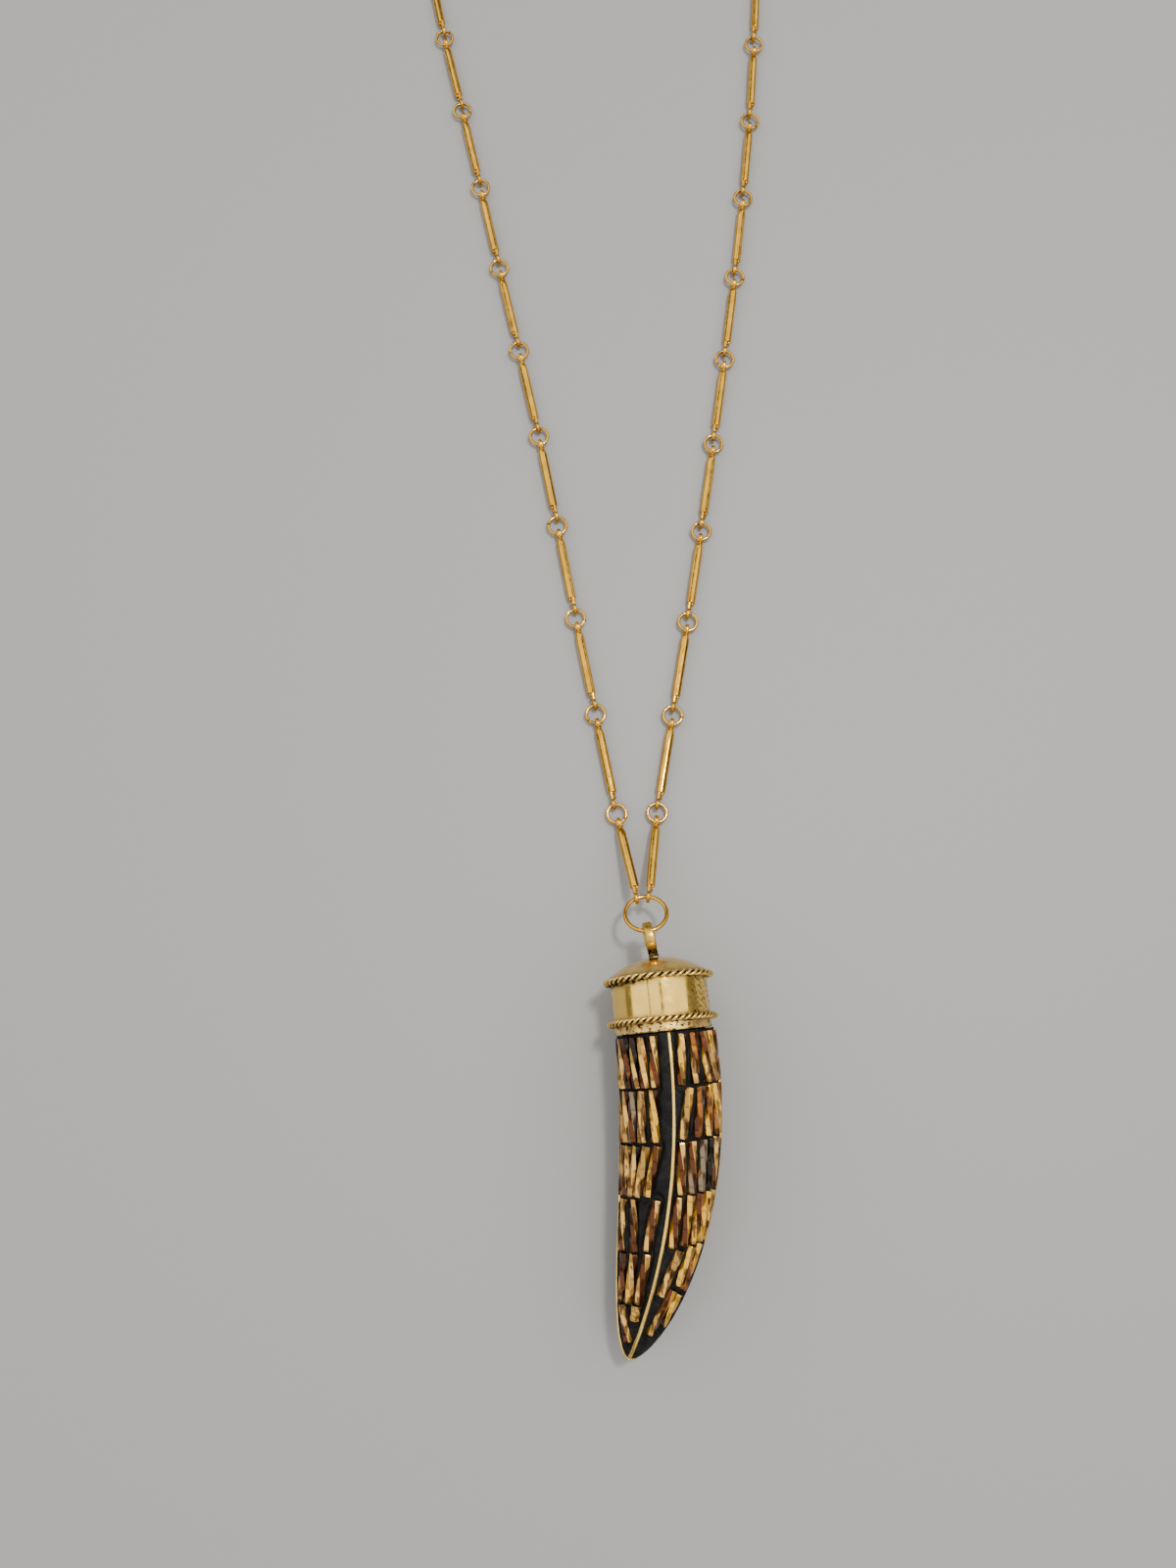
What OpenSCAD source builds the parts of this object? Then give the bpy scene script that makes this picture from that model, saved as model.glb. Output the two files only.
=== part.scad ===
// A horn pendant inlaid with twisted bugle beads, under a brass cap with two twisted rims, on a
// long necklace of straight bar links. It lies on a table, as it was laid down.
// +X is to the right, +Y runs from the horn's tip up along the chain, +Z is up from the table.
// The origin is on the table, under the middle of the whole necklace.

/* [Horn] */
// Length of the horn from the cap's edge to its tip
horn_len = 72.2; // [62:0.1:84]
// Widest diameter of the horn, measured over its beads
horn_d = 24.9; // [22:0.1:27]
// How far the tip is bent to the left of the horn's mouth
horn_bend = 16.4; // [8:0.1:20]
// How far the horn's mouth sits to the right of the cap's axis
mouth_shift = 0.4; // [0:0.1:0.8]
// Power of the bend: higher keeps the horn straight for longer below the cap
bend_power = 2.2; // [1.6:0.1:3]
// Power of the taper: higher keeps the horn thick for longer
taper_power = 2.95; // [2.2:0.05:4]
// Power of the tip: higher makes it more pointed
tip_power = 0.6; // [0.5:0.02:0.7]
// How much narrower the horn is at its mouth, as a share
mouth_pinch = 0.034; // [0:0.001:0.08]

/* [Beads] */
// Diameter of a six-sided bugle bead over its edges
bead_d = 2.1; // [1.7:0.05:2.4]
// Length of a bugle bead
bead_len = 11.5; // [9:0.1:14]
// Turn of a bead's facets from end to end, in degrees
bead_twist = 110; // [0:5:150]
// Gap between neighbouring beads in a row
bead_gap = 0.2; // [0.15:0.05:0.5]
// Gap between two rows of beads
row_gap = 0.5; // [0.4:0.05:1]

/* [Inlaid wires] */
// Diameter of the four wires along the horn
wire_d = 1; // [0.7:0.05:1.3]
// Angle of the left wire from the front at the horn's mouth, in degrees
left_wire_mouth = 104; // [92:1:108]
// Angle of the left wire half way down
left_wire_middle = 95; // [88:1:100]
// Angle of the left wire near the tip
left_wire_tip = 88; // [82:1:96]
// Angle of the right wire from the front at the horn's mouth, in degrees
right_wire_mouth = 98; // [90:1:104]
// Angle of the right wire half way down
right_wire_middle = 88; // [84:1:96]
// Angle of the right wire near the tip
right_wire_tip = 99; // [90:1:104]

/* [Cap] */
// Diameter of the cap's band
cap_d = 23.2; // [22:0.1:25]
// Thickness of the cap's sheet metal
cap_wall = 0.8; // [0.6:0.05:1.2]
// Distance between the two twisted rims
rim_pitch = 9.8; // [6:0.1:14]
// How far the collar reaches below the lower rim
collar_drop = 2.5; // [1.8:0.1:5]
// How far the collar's edge is turned in
collar_turn = 0.3; // [0.1:0.05:0.4]
// How far the band reaches above the upper rim
dome_seat = 1.3; // [0.4:0.1:2.5]
// Rise of the dome above the band
dome_rise = 4; // [2.5:0.1:7]

/* [Twisted rims] */
// Diameter of each of the two strands of a rim
strand_d = 0.84; // [0.6:0.02:0.9]
// Lobes round the upper rim, two for each full turn of its strands
upper_lobes = 42; // [32:2:60]
// Lobes round the lower rim
lower_lobes = 50; // [32:2:60]
// How far the upper rim's front leans towards the dome, in degrees
upper_rim_tilt = 3.2; // [0:0.1:4]
// How far the lower rim's front leans towards the dome, in degrees
lower_rim_tilt = 2.2; // [0:0.1:4]

/* [Bail] */
// Outer diameter of the bail's eye
bail_d = 7.4; // [6:0.1:9]
// Width of the bail's band
bail_w = 2.3; // [1.6:0.1:2.6]
// Thickness of the bail's band
bail_t = 1; // [0.8:0.05:1.5]
// Diameter of the neck between dome and eye
bail_neck_d = 2.4; // [1.5:0.1:2.8]
// Length of that neck
bail_neck_len = 1.2; // [0.6:0.1:3]
// How far the bail stands to the left of the dome's middle
bail_shift = 0.5; // [0:0.1:1]
// Lean of the bail to the left of the cap's axis, in degrees
bail_lean = 6.5; // [0:0.5:8]

/* [Pendant ring] */
// Outer diameter of the ring between bail and chain
ring_d = 11.3; // [9:0.1:14]
// Diameter of its wire
ring_wire_d = 1.05; // [0.8:0.05:1.1]
// Slope of the ring from the bail down to the chain, in degrees
ring_slope = 28; // [15:1:35]
// Angle from the ring's far point to each first bar, in degrees
ring_spread = 17; // [16:1:24]

/* [Chain] */
// Bars in each of the two strands
strand_bars = 17; // [12:1:22]
// Diameter of a bar
bar_d = 2.35; // [1.8:0.05:2.9]
// Length of a bar's full round part
bar_len = 15.7; // [12:0.1:22]
// Length from that part to the eye at each end: a narrow tongue at the near end, a taper at the far
bar_taper = 1.95; // [1.5:0.05:3]
// Diameter of that tongue
tongue_d = 0.95; // [0.7:0.05:1.2]
// Diameter of the bar where its far taper meets the eye
taper_end_d = 1.5; // [0.8:0.1:2]
// Diameter of the hole in a bar's eye
eye_hole_d = 1.5; // [1.3:0.05:1.7]
// Diameter of the eye's wire
eye_wire_d = 0.85; // [0.7:0.05:1.1]
// Outer diameter of a jump ring between two bars
jump_d = 5.75; // [5:0.05:7]
// Diameter of a jump ring's wire
jump_wire_d = 0.85; // [0.6:0.05:1]
// How far an eye slides along its jump ring: out where the strand is taut, in where it is slack
strand_pull = 0.2; // [0:0.02:0.22]
// Links from the pendant on that are taut in the left strand and slack in the right one
taut_links = 9; // [0:1:12]

/* [As it lies] */
// Lean of the cap to the left of straight up, in degrees
cap_lean = 5.5; // [0:0.5:10]
// Heading of the pendant ring to the left of straight up, in degrees
ring_heading = 6; // [4:1:12]

/* [Hidden] */

// Clearance between two pieces that fit together, and of a link inside a hole
fit = 0.12;
link_fit = 0.32;
// Gap between the cap's edge and what starts below it
mouth_gap = 0.2;
// Start of the first row of beads below the horn's mouth
first_row = 0.6;
// Sides of a bead, and its rings of points from end to end
bead_sides = 6;
bead_rings = 4;
// Sides of the seat that a bead lies in
seat_sides = 8;
// Sides of an inlaid wire, and the steps along its half of the horn
wire_sides = 6;
wire_steps = 16;
// Sides and steps of the horn's resin
resin_sides = 28;
resin_steps = 16;
// Sections for each lobe of a twisted rim
lobe_sections = 3;
// Length of the resin's plug above the horn's mouth
plug_len = 11.9;
// A small step, for slopes
dt = 0.001;

bead_r = bead_d / 2;
bead_pitch = bead_d + bead_gap;
wire_r = wire_d / 2;
resin_depth = wire_d + fit;
cap_r = cap_d / 2;
bore_r = cap_r - cap_wall;
plug_r = bore_r - fit - mouth_shift;
dome_base = -rim_pitch - dome_seat;
dome_top = dome_base - dome_rise;
dome_r = (cap_r * cap_r + dome_rise * dome_rise) / (2 * dome_rise);
rim_r = cap_r + fit + strand_d;
rim_outer_r = rim_r + strand_d;
bail_r = bail_d / 2;
bail_hole_r = bail_r - bail_t;
ring_r = (ring_d - ring_wire_d) / 2;
eye_r = (eye_hole_d + eye_wire_d) / 2;
link_z = eye_hole_d / 2 + eye_wire_d;
bar_span = bar_len + 2 * bar_taper + 2 * eye_r;
jump_r = (jump_d - jump_wire_d) / 2;
link_pitch = bar_span + 2 * jump_r;
strand_len = link_pitch * strand_bars - jump_r;

// The rows of beads on the front, from the mouth to the tip, left of the front wire and right
// of it. Each bead has its place at its top end, its place at its foot, its length and, where it
// isn't level with its row, how far down it is moved. Places are counted from the front wire in
// bead widths, and the length is a share of a whole bead. The back repeats them from its wire.
LEFT_ROWS = [
    [[1.65, 1.75, 1], [2.9, 2.9, 1], [3.95, 3.95, 1], [5.15, 5.05, 1], [6.25, 6.15, 1], [7.3, 7.25, 1]],
    [[2, 1.8, 1], [3.25, 3.3, 1], [4.45, 4.6, 1], [5.65, 5.75, 1], [6.85, 6.85, 1]],
    [[1.5, 2.3, 1], [2.7, 3.4, 1], [3.85, 4.45, 1], [5, 5.5, 1], [6.2, 6.55, 1]],
    [[1.15, 1.45, 1], [3.7, 2.75, 1], [5.3, 4.6, 1]],
    [[1.25, 1.05, 1], [2.65, 2.05, 0.96], [4.1, 3.05, 0.9]],
    [[1.1, 0.85, 0.3], [2.6, 0.85, 0.72]]
];
RIGHT_ROWS = [
    [[1.3, 0.85, 1], [2.65, 2.35, 1], [3.9, 4, 1], [5.05, 5.1, 1], [6.05, 6.1, 1], [7.05, 7.1, 1]],
    [[1.75, 0.85, 1], [3.1, 2.4, 1], [4.25, 3.9, 1], [5.5, 5.4, 1], [6.65, 6.5, 1]],
    [[0.85, 1.1, 1], [1.95, 2.2, 1], [3.3, 3.3, 1], [4.4, 4.4, 1], [5.6, 5.5, 1]],
    [[0.9, 0.95, 0.98], [2.15, 2.05, 0.98], [3.3, 3.15, 0.98], [4.6, 4.2, 0.98], [5.65, 5.25, 0.98]],
    [[1.9, 0.85, 0.95], [3.35, 2.45, 0.8], [4.6, 3.6, 0.95]],
    [[2.1, 0.95, 1, -2], [3.2, 2.2, 0.7]]
];

// The chain's route from the pendant ring's far point to the middle of its far end, in hundredths
// of a strand's length: how far up, then the left strand and the right strand across.
ROUTE = [
    [5, -1.4, 0.9],
    [16.5, -3.7, 2.85],
    [28.2, -5.95, 4.65],
    [40.1, -8.6, 6.3],
    [51.8, -11.2, 7.6],
    [57.4, -12.5, 8],
    [67.8, -14.4, 8.6],
    [79.3, -15, 8.8],
    [85.7, -13.7, 7.5],
    [90.4, -9.2, 3.1],
    [92.2, -3.05, -3.05]
];

// Outline of a twisted pair of strands, in strand radii
STRAND_PAIR = [[1.85, 0.75], [0, 0.7], [-1.85, 0.75], [-1.85, -0.75], [0, -0.7], [1.85, -0.75]];

function unit(v) = v / norm(v);

function degrees(arc, r) = arc / r * 180 / PI;

// The horn is worked out below the cap: x to the right, y up, z from the lower rim to the tip.
// t is the share of its length and a the angle round it, from the front and to the right.

// Radius over the beads
function horn_r(t) =
    horn_d / 2
    * pow(max(0, 1 - pow(t, taper_power)), tip_power)
    * (1 - mouth_pinch * pow(1 - t, 8));

// Middle of the horn, bent to the left towards the tip
function spine(t) =
    [mouth_shift - horn_bend * pow(t, bend_power), 0, collar_drop + mouth_gap + horn_len * t];

function spine_step(t) = [-bend_power * horn_bend * pow(t, bend_power - 1), 0, horn_len];

function spine_dir(t) = unit(spine_step(t));

function out_dir(t, a) =
    let (d = spine_dir(t))
    sin(a) * [d[2], 0, -d[0]] + [0, cos(a), 0];

function horn_slope(t) =
    let (t0 = max(0, t - dt), t1 = min(1, t + dt))
    (horn_r(t1) - horn_r(t0)) / ((t1 - t0) * norm(spine_step(t)));

// Outward direction at right angles to the horn's surface
function skin_dir(t, a) =
    t > 1 - dt ? spine_dir(1) : unit(out_dir(t, a) - horn_slope(t) * spine_dir(t));

// Point below the surface, at a depth
function skin(t, a, depth) = spine(t) + horn_r(t) * out_dir(t, a) - depth * skin_dir(t, a);

// Lengths along the surface from the mouth to each share t, down the left and the right side.
// Between the two, the share at a given length changes evenly across the horn.
SURFACE_STEPS = 60;
function side_point(i, side) = skin(min(1, i / SURFACE_STEPS), side * 90, bead_r);
function side_lengths(side) = [
    for (
        i = 0, s = 0;
        i <= SURFACE_STEPS;
        i = i + 1, s = s + norm(side_point(i, side) - side_point(i - 1, side))
    )
        [s, i / SURFACE_STEPS]
];
LEFT_LENGTHS = side_lengths(-1);
RIGHT_LENGTHS = side_lengths(1);
function station(a, s) =
    lookup(s, LEFT_LENGTHS) * (1 - sin(a)) / 2 + lookup(s, RIGHT_LENGTHS) * (1 + sin(a)) / 2;
surface_len = min(LEFT_LENGTHS[SURFACE_STEPS][0], RIGHT_LENGTHS[SURFACE_STEPS][0]);

// Angle of a side wire from the front: a curve through its three angles
function curved(mouth, middle, tip, t) =
    mouth * (1 - t) * (1 - 2 * t) + 4 * middle * t * (1 - t) + tip * t * (2 * t - 1);
function side_wire_angle(side, t) =
    side < 0
        ? curved(left_wire_mouth, left_wire_middle, left_wire_tip, t)
        : curved(right_wire_mouth, right_wire_middle, right_wire_tip, t);

// Angle of a place in a row from its middle wire, and the share t where its bead's end lies
function place_angle(place, t) = degrees(place * bead_pitch, horn_r(t) - bead_r);
function place_share(side, place, s) =
    station(side * place_angle(place, station(0, s)), s);

// Whether a bead's end clears the side wire
function clears_wire(side, t, place, back) =
    let (wire = side_wire_angle(side, t), edge = bead_r + wire_r + fit)
    place_angle(place + edge / bead_pitch, t) < (back ? 180 - wire : wire);

// The rows of one panel: the two ends and the outward direction of each bead
function panel_beads(side, rows, back) = [
    for (row = [0 : len(rows) - 1])
        for (bead = rows[row])
            let (
                moved = is_undef(bead[3]) ? 0 : bead[3],
                s0 = first_row + row * (bead_len + row_gap) + moved,
                length = bead_len * bead[2],
                t0 = place_share(side, bead[0], s0),
                t1 = place_share(side, bead[1], s0 + length),
                turn0 = place_angle(bead[0], t0),
                turn1 = place_angle(bead[1], t1),
                a0 = side * (back ? 180 - turn0 : turn0),
                a1 = side * (back ? 180 - turn1 : turn1),
                top = skin(t0, a0, bead_r),
                foot = skin(t1, a1, bead_r),
                middle = (top + foot) / 2,
                half = unit(foot - top) * length / 2
            )
            if (
                s0 + length < surface_len - wire_d
                && clears_wire(side, t0, bead[0], back)
                && clears_wire(side, t1, bead[1], back)
            )
                [middle - half, middle + half, out_dir((t0 + t1) / 2, (a0 + a1) / 2)]
];

FRONT_BEADS = concat(panel_beads(-1, LEFT_ROWS, false), panel_beads(1, RIGHT_ROWS, false));
BACK_BEADS = concat(panel_beads(-1, LEFT_ROWS, true), panel_beads(1, RIGHT_ROWS, true));

// Faces between neighbouring rings of points, and the flat faces that close the two ends
function wall_faces(start, rings, sides) = [
    for (j = [0 : rings - 2])
        for (k = [0 : sides - 1])
            for (half = [0, 1])
                let (
                    k1 = (k + 1) % sides,
                    a = start + j * sides + k,
                    b = start + j * sides + k1,
                    c = a + sides,
                    d = b + sides
                )
                half == 0 ? [a, b, c] : [b, d, c]
];
function first_face(start, sides) = [for (k = [sides - 1 : -1 : 0]) start + k];
function last_face(start, rings, sides) = [for (k = [0 : sides - 1]) start + (rings - 1) * sides + k];
function tube_faces(start, rings, sides) = concat(
    [first_face(start, sides)],
    wall_faces(start, rings, sides),
    [last_face(start, rings, sides)]
);

function bead_points(ends) =
    let (
        along = unit(ends[1] - ends[0]),
        across = unit(cross(along, ends[2])),
        up = cross(across, along)
    )
    [
        for (j = [0 : bead_rings - 1])
            for (k = [0 : bead_sides - 1])
                let (
                    share = j / (bead_rings - 1),
                    a = 360 * k / bead_sides + bead_twist * share
                )
                ends[0] + (ends[1] - ends[0]) * share + bead_r * (cos(a) * across + sin(a) * up)
    ];

module bugle_beads(list) {
    count = bead_rings * bead_sides;
    polyhedron(
        points = [for (ends = list) each bead_points(ends)],
        faces = [for (i = [0 : len(list) - 1]) each tube_faces(i * count, bead_rings, bead_sides)]
    );
}

// A round wire through the points of a path, turned about a fixed direction off the path
function path_dir(path, i) = unit(path[min(i + 1, len(path) - 1)] - path[max(i - 1, 0)]);

module wire(path, off_path) {
    polyhedron(
        points = [
            for (i = [0 : len(path) - 1])
                let (
                    along = path_dir(path, i),
                    across = unit(cross(along, off_path)),
                    up = cross(across, along)
                )
                for (k = [0 : wire_sides - 1])
                    let (a = 360 * k / wire_sides)
                    path[i] + wire_r * (cos(a) * across + sin(a) * up)
        ],
        faces = tube_faces(0, len(path), wire_sides)
    );
}

// The necklace on the table. The middle of the lower rim stands over the point [0, 0], and the
// pendant rests on that rim and on the horn's back.
lie_tilt = min([
    for (t = [0.05 : 0.01 : 0.9])
        atan((rim_outer_r - horn_r(t)) / spine(t)[2])
]);
rim_z = rim_r * cos(lie_tilt - lower_rim_tilt) + strand_d;

function turn_x(p, a) = [p[0], p[1] * cos(a) - p[2] * sin(a), p[1] * sin(a) + p[2] * cos(a)];
function turn_z(p, a) = [p[0] * cos(a) - p[1] * sin(a), p[0] * sin(a) + p[1] * cos(a), p[2]];
function lie(p) = turn_z(turn_x(p, 90 + lie_tilt), cap_lean) + [0, 0, rim_z];

module lie() {
    translate([0, 0, rim_z]) rotate([0, 0, cap_lean]) rotate([90 + lie_tilt, 0, 0]) children();
}

// The pendant ring hangs from the far side of the bail's hole and slopes down to the chain
bail_out = bail_neck_len + bail_r;
bail_middle =
    lie([-bail_shift - bail_out * sin(bail_lean), 0, dome_top - bail_out * cos(bail_lean)]);
ring_down = turn_z([0, cos(ring_slope), -sin(ring_slope)], ring_heading);
ring_across = turn_z([1, 0, 0], ring_heading);
ring_near = bail_middle + (bail_hole_r - ring_wire_d / 2 - link_fit) * ring_down;
ring_middle = ring_near + ring_r * ring_down;
function ring_hold(side) =
    ring_middle + ring_r * (side * sin(ring_spread) * ring_across + cos(ring_spread) * ring_down);

function flat(p) = [p[0], p[1]];
function on_table(p) = [p[0], p[1], link_z];

// A smooth curve through the points, with a few steps between each two
ROUTE_STEPS = 6;
function curve_point(a, b, c, d, u) =
    (2 * b + (c - a) * u + (2 * a - 5 * b + 4 * c - d) * u * u + (3 * b - a - 3 * c + d) * u * u * u) / 2;
function smooth(points) = [
    for (i = [0 : len(points) - 2])
        for (k = [0 : ROUTE_STEPS - 1])
            curve_point(
                points[max(0, i - 1)],
                points[i],
                points[i + 1],
                points[min(len(points) - 1, i + 2)],
                k / ROUTE_STEPS
            ),
    points[len(points) - 1]
];
function strand_route(side) =
    let (start = flat(ring_middle + ring_r * ring_down))
    smooth(concat(
        [flat(ring_hold(side))],
        [for (row = ROUTE) start + [row[side < 0 ? 1 : 2], row[0]] * strand_len / 100]
    ));

// The next place on a route at a given straight distance from the last one
function reach(from, a, b, distance) =
    let (
        d = b - a,
        f = a - from,
        half = d * f / (d * d),
        rest = (f * f - distance * distance) / (d * d)
    )
    a + d * (sqrt(max(0, half * half - rest)) - half);
function segment_from(route, from, distance, i) =
    i >= len(route) - 2 || norm(route[i + 1] - from) >= distance
        ? i
        : segment_from(route, from, distance, i + 1);
function walk(route, from, distances, count = 0, i = 0) =
    count == len(distances)
        ? []
        : let (
            j = segment_from(route, from, distances[count], i),
            place = reach(from, route[j], route[j + 1], distances[count])
        )
        concat([place], walk(route, place, distances, count + 1, j));

// Distance from a jump ring's middle to the eyes of the bar with number i, and a bar's step from
// one jump ring to the next
function eye_out(side, i) = jump_r + (i < taut_links ? -side : side) * strand_pull;
function bar_step(side, i) = bar_span + 2 * eye_out(side, i);

// Middles of the jump rings of one strand, from the pendant ring on
function strand_rings(side) =
    let (
        hold = ring_hold(side),
        drop = hold[2] - link_z,
        first = eye_out(side, 0) + sqrt(bar_span * bar_span - drop * drop),
        steps = [for (i = [1 : strand_bars - 2]) bar_step(side, i)]
    )
    walk(strand_route(side), flat(hold), concat([first], steps));

LEFT_RINGS = strand_rings(-1);
RIGHT_RINGS = strand_rings(1);
function last(list) = list[len(list) - 1];

// The ring that joins the two strands is one step from the last ring of each
function keystone(a, b, step_a, step_b) =
    let (
        across = unit(b - a),
        along = (norm(b - a) + (step_a * step_a - step_b * step_b) / norm(b - a)) / 2
    )
    a + along * across + sqrt(max(0, step_a * step_a - along * along)) * [-across[1], across[0]];
FAR_RING = keystone(
    last(LEFT_RINGS),
    last(RIGHT_RINGS),
    bar_step(-1, strand_bars - 1),
    bar_step(1, strand_bars - 1)
);
RINGS = concat(LEFT_RINGS, RIGHT_RINGS, [FAR_RING]);

// The two eyes of each bar of a strand
function strand_bar_ends(side, rings) =
    let (middles = concat(rings, [FAR_RING]), hold = ring_hold(side))
    [
        for (i = [0 : len(middles) - 1])
            let (
                from = i == 0 ? flat(hold) : middles[i - 1],
                along = eye_out(side, i) * unit(middles[i] - from)
            )
            [i == 0 ? hold : on_table(from + along), on_table(middles[i] - along)]
    ];
BARS = concat(strand_bar_ends(-1, LEFT_RINGS), strand_bar_ends(1, RIGHT_RINGS));

// Middle of the whole necklace, which becomes the origin
tip = lie(skin(1, 0, 0));
min_x = min([for (p = RINGS) p[0]]) - jump_d / 2;
max_x = max([for (p = RINGS) p[0]]) + jump_d / 2;
max_y = max([for (p = RINGS) p[1]]) + jump_d / 2;
middle = [(min_x + max_x) / 2, (tip[1] + max_y) / 2, 0];

module placed() {
    translate(-middle) children();
}

// One seat in the resin, round a bead, with a shallow point past each end of it
module seat(ends) {
    along = unit(ends[1] - ends[0]);
    across = unit(cross(along, ends[2]));
    up = cross(across, along);
    seat_r = (bead_r + fit) / cos(180 / seat_sides);
    hull()
        for (way = [-1, 1]) {
            out = way * along;
            end = (way < 0 ? ends[0] : ends[1]) + fit * out;
            multmatrix([
                [across[0], up[0], out[0], end[0]],
                [across[1], up[1], out[1], end[1]],
                [across[2], up[2], out[2], end[2]],
                [0, 0, 0, 1]
            ])
                cylinder(h = fit, r1 = seat_r, r2 = 0, $fn = seat_sides);
        }
}

// The black resin that holds the beads, with the plug that sits in the cap
module horn_body() {
    color("#1c1a1a") placed() lie()
        difference() {
            union() {
                translate([0, 0, collar_drop + mouth_gap + fit - plug_len])
                    cylinder(h = plug_len, r = plug_r, $fn = 48);
                polyhedron(
                    points = concat(
                        [
                            for (j = [0 : resin_steps - 1])
                                for (k = [0 : resin_sides - 1])
                                    skin(sin(90 * j / resin_steps), 360 * k / resin_sides, resin_depth)
                        ],
                        [skin(1, 0, resin_depth)]
                    ),
                    faces = concat(
                        [first_face(0, resin_sides)],
                        wall_faces(0, resin_steps, resin_sides),
                        [
                            for (k = [0 : resin_sides - 1])
                                let (row = (resin_steps - 1) * resin_sides)
                                [row + k, row + (k + 1) % resin_sides, resin_steps * resin_sides]
                        ]
                    )
                );
            }
            for (ends = FRONT_BEADS) seat(ends);
            for (ends = BACK_BEADS) seat(ends);
        }
}

module front_beads() {
    color("#a8763a") placed() lie() bugle_beads(FRONT_BEADS);
}

module back_beads() {
    color("#a8763a") placed() lie() bugle_beads(BACK_BEADS);
}

// Stations along a wire, closer together towards the tip
function wire_share(i) = sin(90 * i / wire_steps);

// A wire down the front or the back. It stops where the tip is just thick enough for it and the
// side wire.
module middle_wire(a) {
    end_r = wire_d + wire_r + 2 * fit;
    last_t = pow(1 - pow(2 * end_r / horn_d, 1 / tip_power), 1 / taper_power);
    wire([for (i = [0 : wire_steps]) skin(last_t * wire_share(i), a, wire_r)], [1, 0, 0]);
}

module front_wire() {
    color("#e9cd83") placed() lie() middle_wire(0);
}

module back_wire() {
    color("#e9cd83") placed() lie() middle_wire(180);
}

// One wire down the left side, round the tip and up the right side
module side_wire() {
    left = [
        for (i = [0 : wire_steps])
            skin(wire_share(i), -side_wire_angle(-1, wire_share(i)), wire_r)
    ];
    right = [
        for (i = [wire_steps - 1 : -1 : 0])
            skin(wire_share(i), side_wire_angle(1, wire_share(i)), wire_r)
    ];
    color("#e9cd83") placed() lie() wire(concat(left, right), [0, 1, 0]);
}

// The cap's half section: x is the radius, y runs from the dome down to the collar
module cap_section() {
    difference() {
        union() {
            polygon([
                [0, dome_base],
                [cap_r, dome_base],
                [cap_r, collar_drop - 2 * collar_turn],
                [cap_r - collar_turn, collar_drop],
                [0, collar_drop]
            ]);
            intersection() {
                translate([0, dome_top + dome_r]) circle(r = dome_r, $fn = 96);
                translate([0, dome_top]) square([cap_r, dome_rise]);
            }
        }
        intersection() {
            translate([0, dome_top + dome_r]) circle(r = dome_r - cap_wall, $fn = 96);
            translate([-1, dome_top]) square([bore_r + 1, dome_rise + 1]);
        }
        translate([-1, dome_base]) square([bore_r + 1, collar_drop - dome_base + 1]);
        translate([-1, dome_top - 1]) square([1, collar_drop - dome_top + 2]);
    }
}

module cap() {
    color("#d9c07a") placed() lie() {
        rotate_extrude($fn = 96) cap_section();
        translate([-bail_shift, 0, dome_top]) rotate([0, bail_lean, 0]) {
            translate([0, 0, -bail_neck_len - bail_t / 2])
                cylinder(h = bail_neck_len + bail_t / 2 + cap_wall / 2, d = bail_neck_d, $fn = 32);
            translate([0, 0, -bail_out]) rotate([0, 90, 0])
                rotate_extrude($fn = 64) translate([bail_r - bail_t / 2, 0]) {
                    square([bail_t, bail_w - bail_t], center = true);
                    for (s = [-1, 1])
                        translate([0, s * (bail_w - bail_t) / 2]) circle(d = bail_t, $fn = 24);
                }
        }
    }
}

// Two strands twisted together into a ring. They meet themselves again after whole turns.
module twisted_rim(lobes) {
    turns = round(lobes / 2);
    sections = 2 * turns * lobe_sections;
    sides = len(STRAND_PAIR);
    points = [
        for (j = [0 : sections - 1])
            for (p = STRAND_PAIR)
                let (
                    a = 360 * j / sections,
                    twist = turns * a,
                    x = (p[0] * cos(twist) - p[1] * sin(twist)) * strand_d / 2,
                    y = (p[0] * sin(twist) + p[1] * cos(twist)) * strand_d / 2
                )
                [(rim_r + x) * cos(a), (rim_r + x) * sin(a), y]
    ];
    polyhedron(
        points = points,
        faces = [
            for (j = [0 : sections - 1])
                for (k = [0 : sides - 1])
                    for (half = [0, 1])
                        let (
                            j1 = (j + 1) % sections,
                            k1 = (k + 1) % sides,
                            p = j * sides + k,
                            q = j * sides + k1,
                            r = j1 * sides + k,
                            s = j1 * sides + k1
                        )
                        half == 0 ? [p, q, r] : [q, s, r]
        ]
    );
}

module upper_rim() {
    color("#c9a856") placed() lie()
        translate([0, 0, -rim_pitch]) rotate([-upper_rim_tilt, 0, 0]) twisted_rim(upper_lobes);
}

module lower_rim() {
    color("#c9a856") placed() lie()
        rotate([-lower_rim_tilt, 0, 0]) twisted_rim(lower_lobes);
}

module torus(r, wire) {
    rotate_extrude($fn = 48) translate([r, 0]) circle(d = wire, $fn = 24);
}

module pendant_ring() {
    color("#d8a233") placed()
        translate(ring_middle) rotate([0, 0, ring_heading]) rotate([-ring_slope, 0, 0])
            torus(ring_r, ring_wire_d);
}

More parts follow.
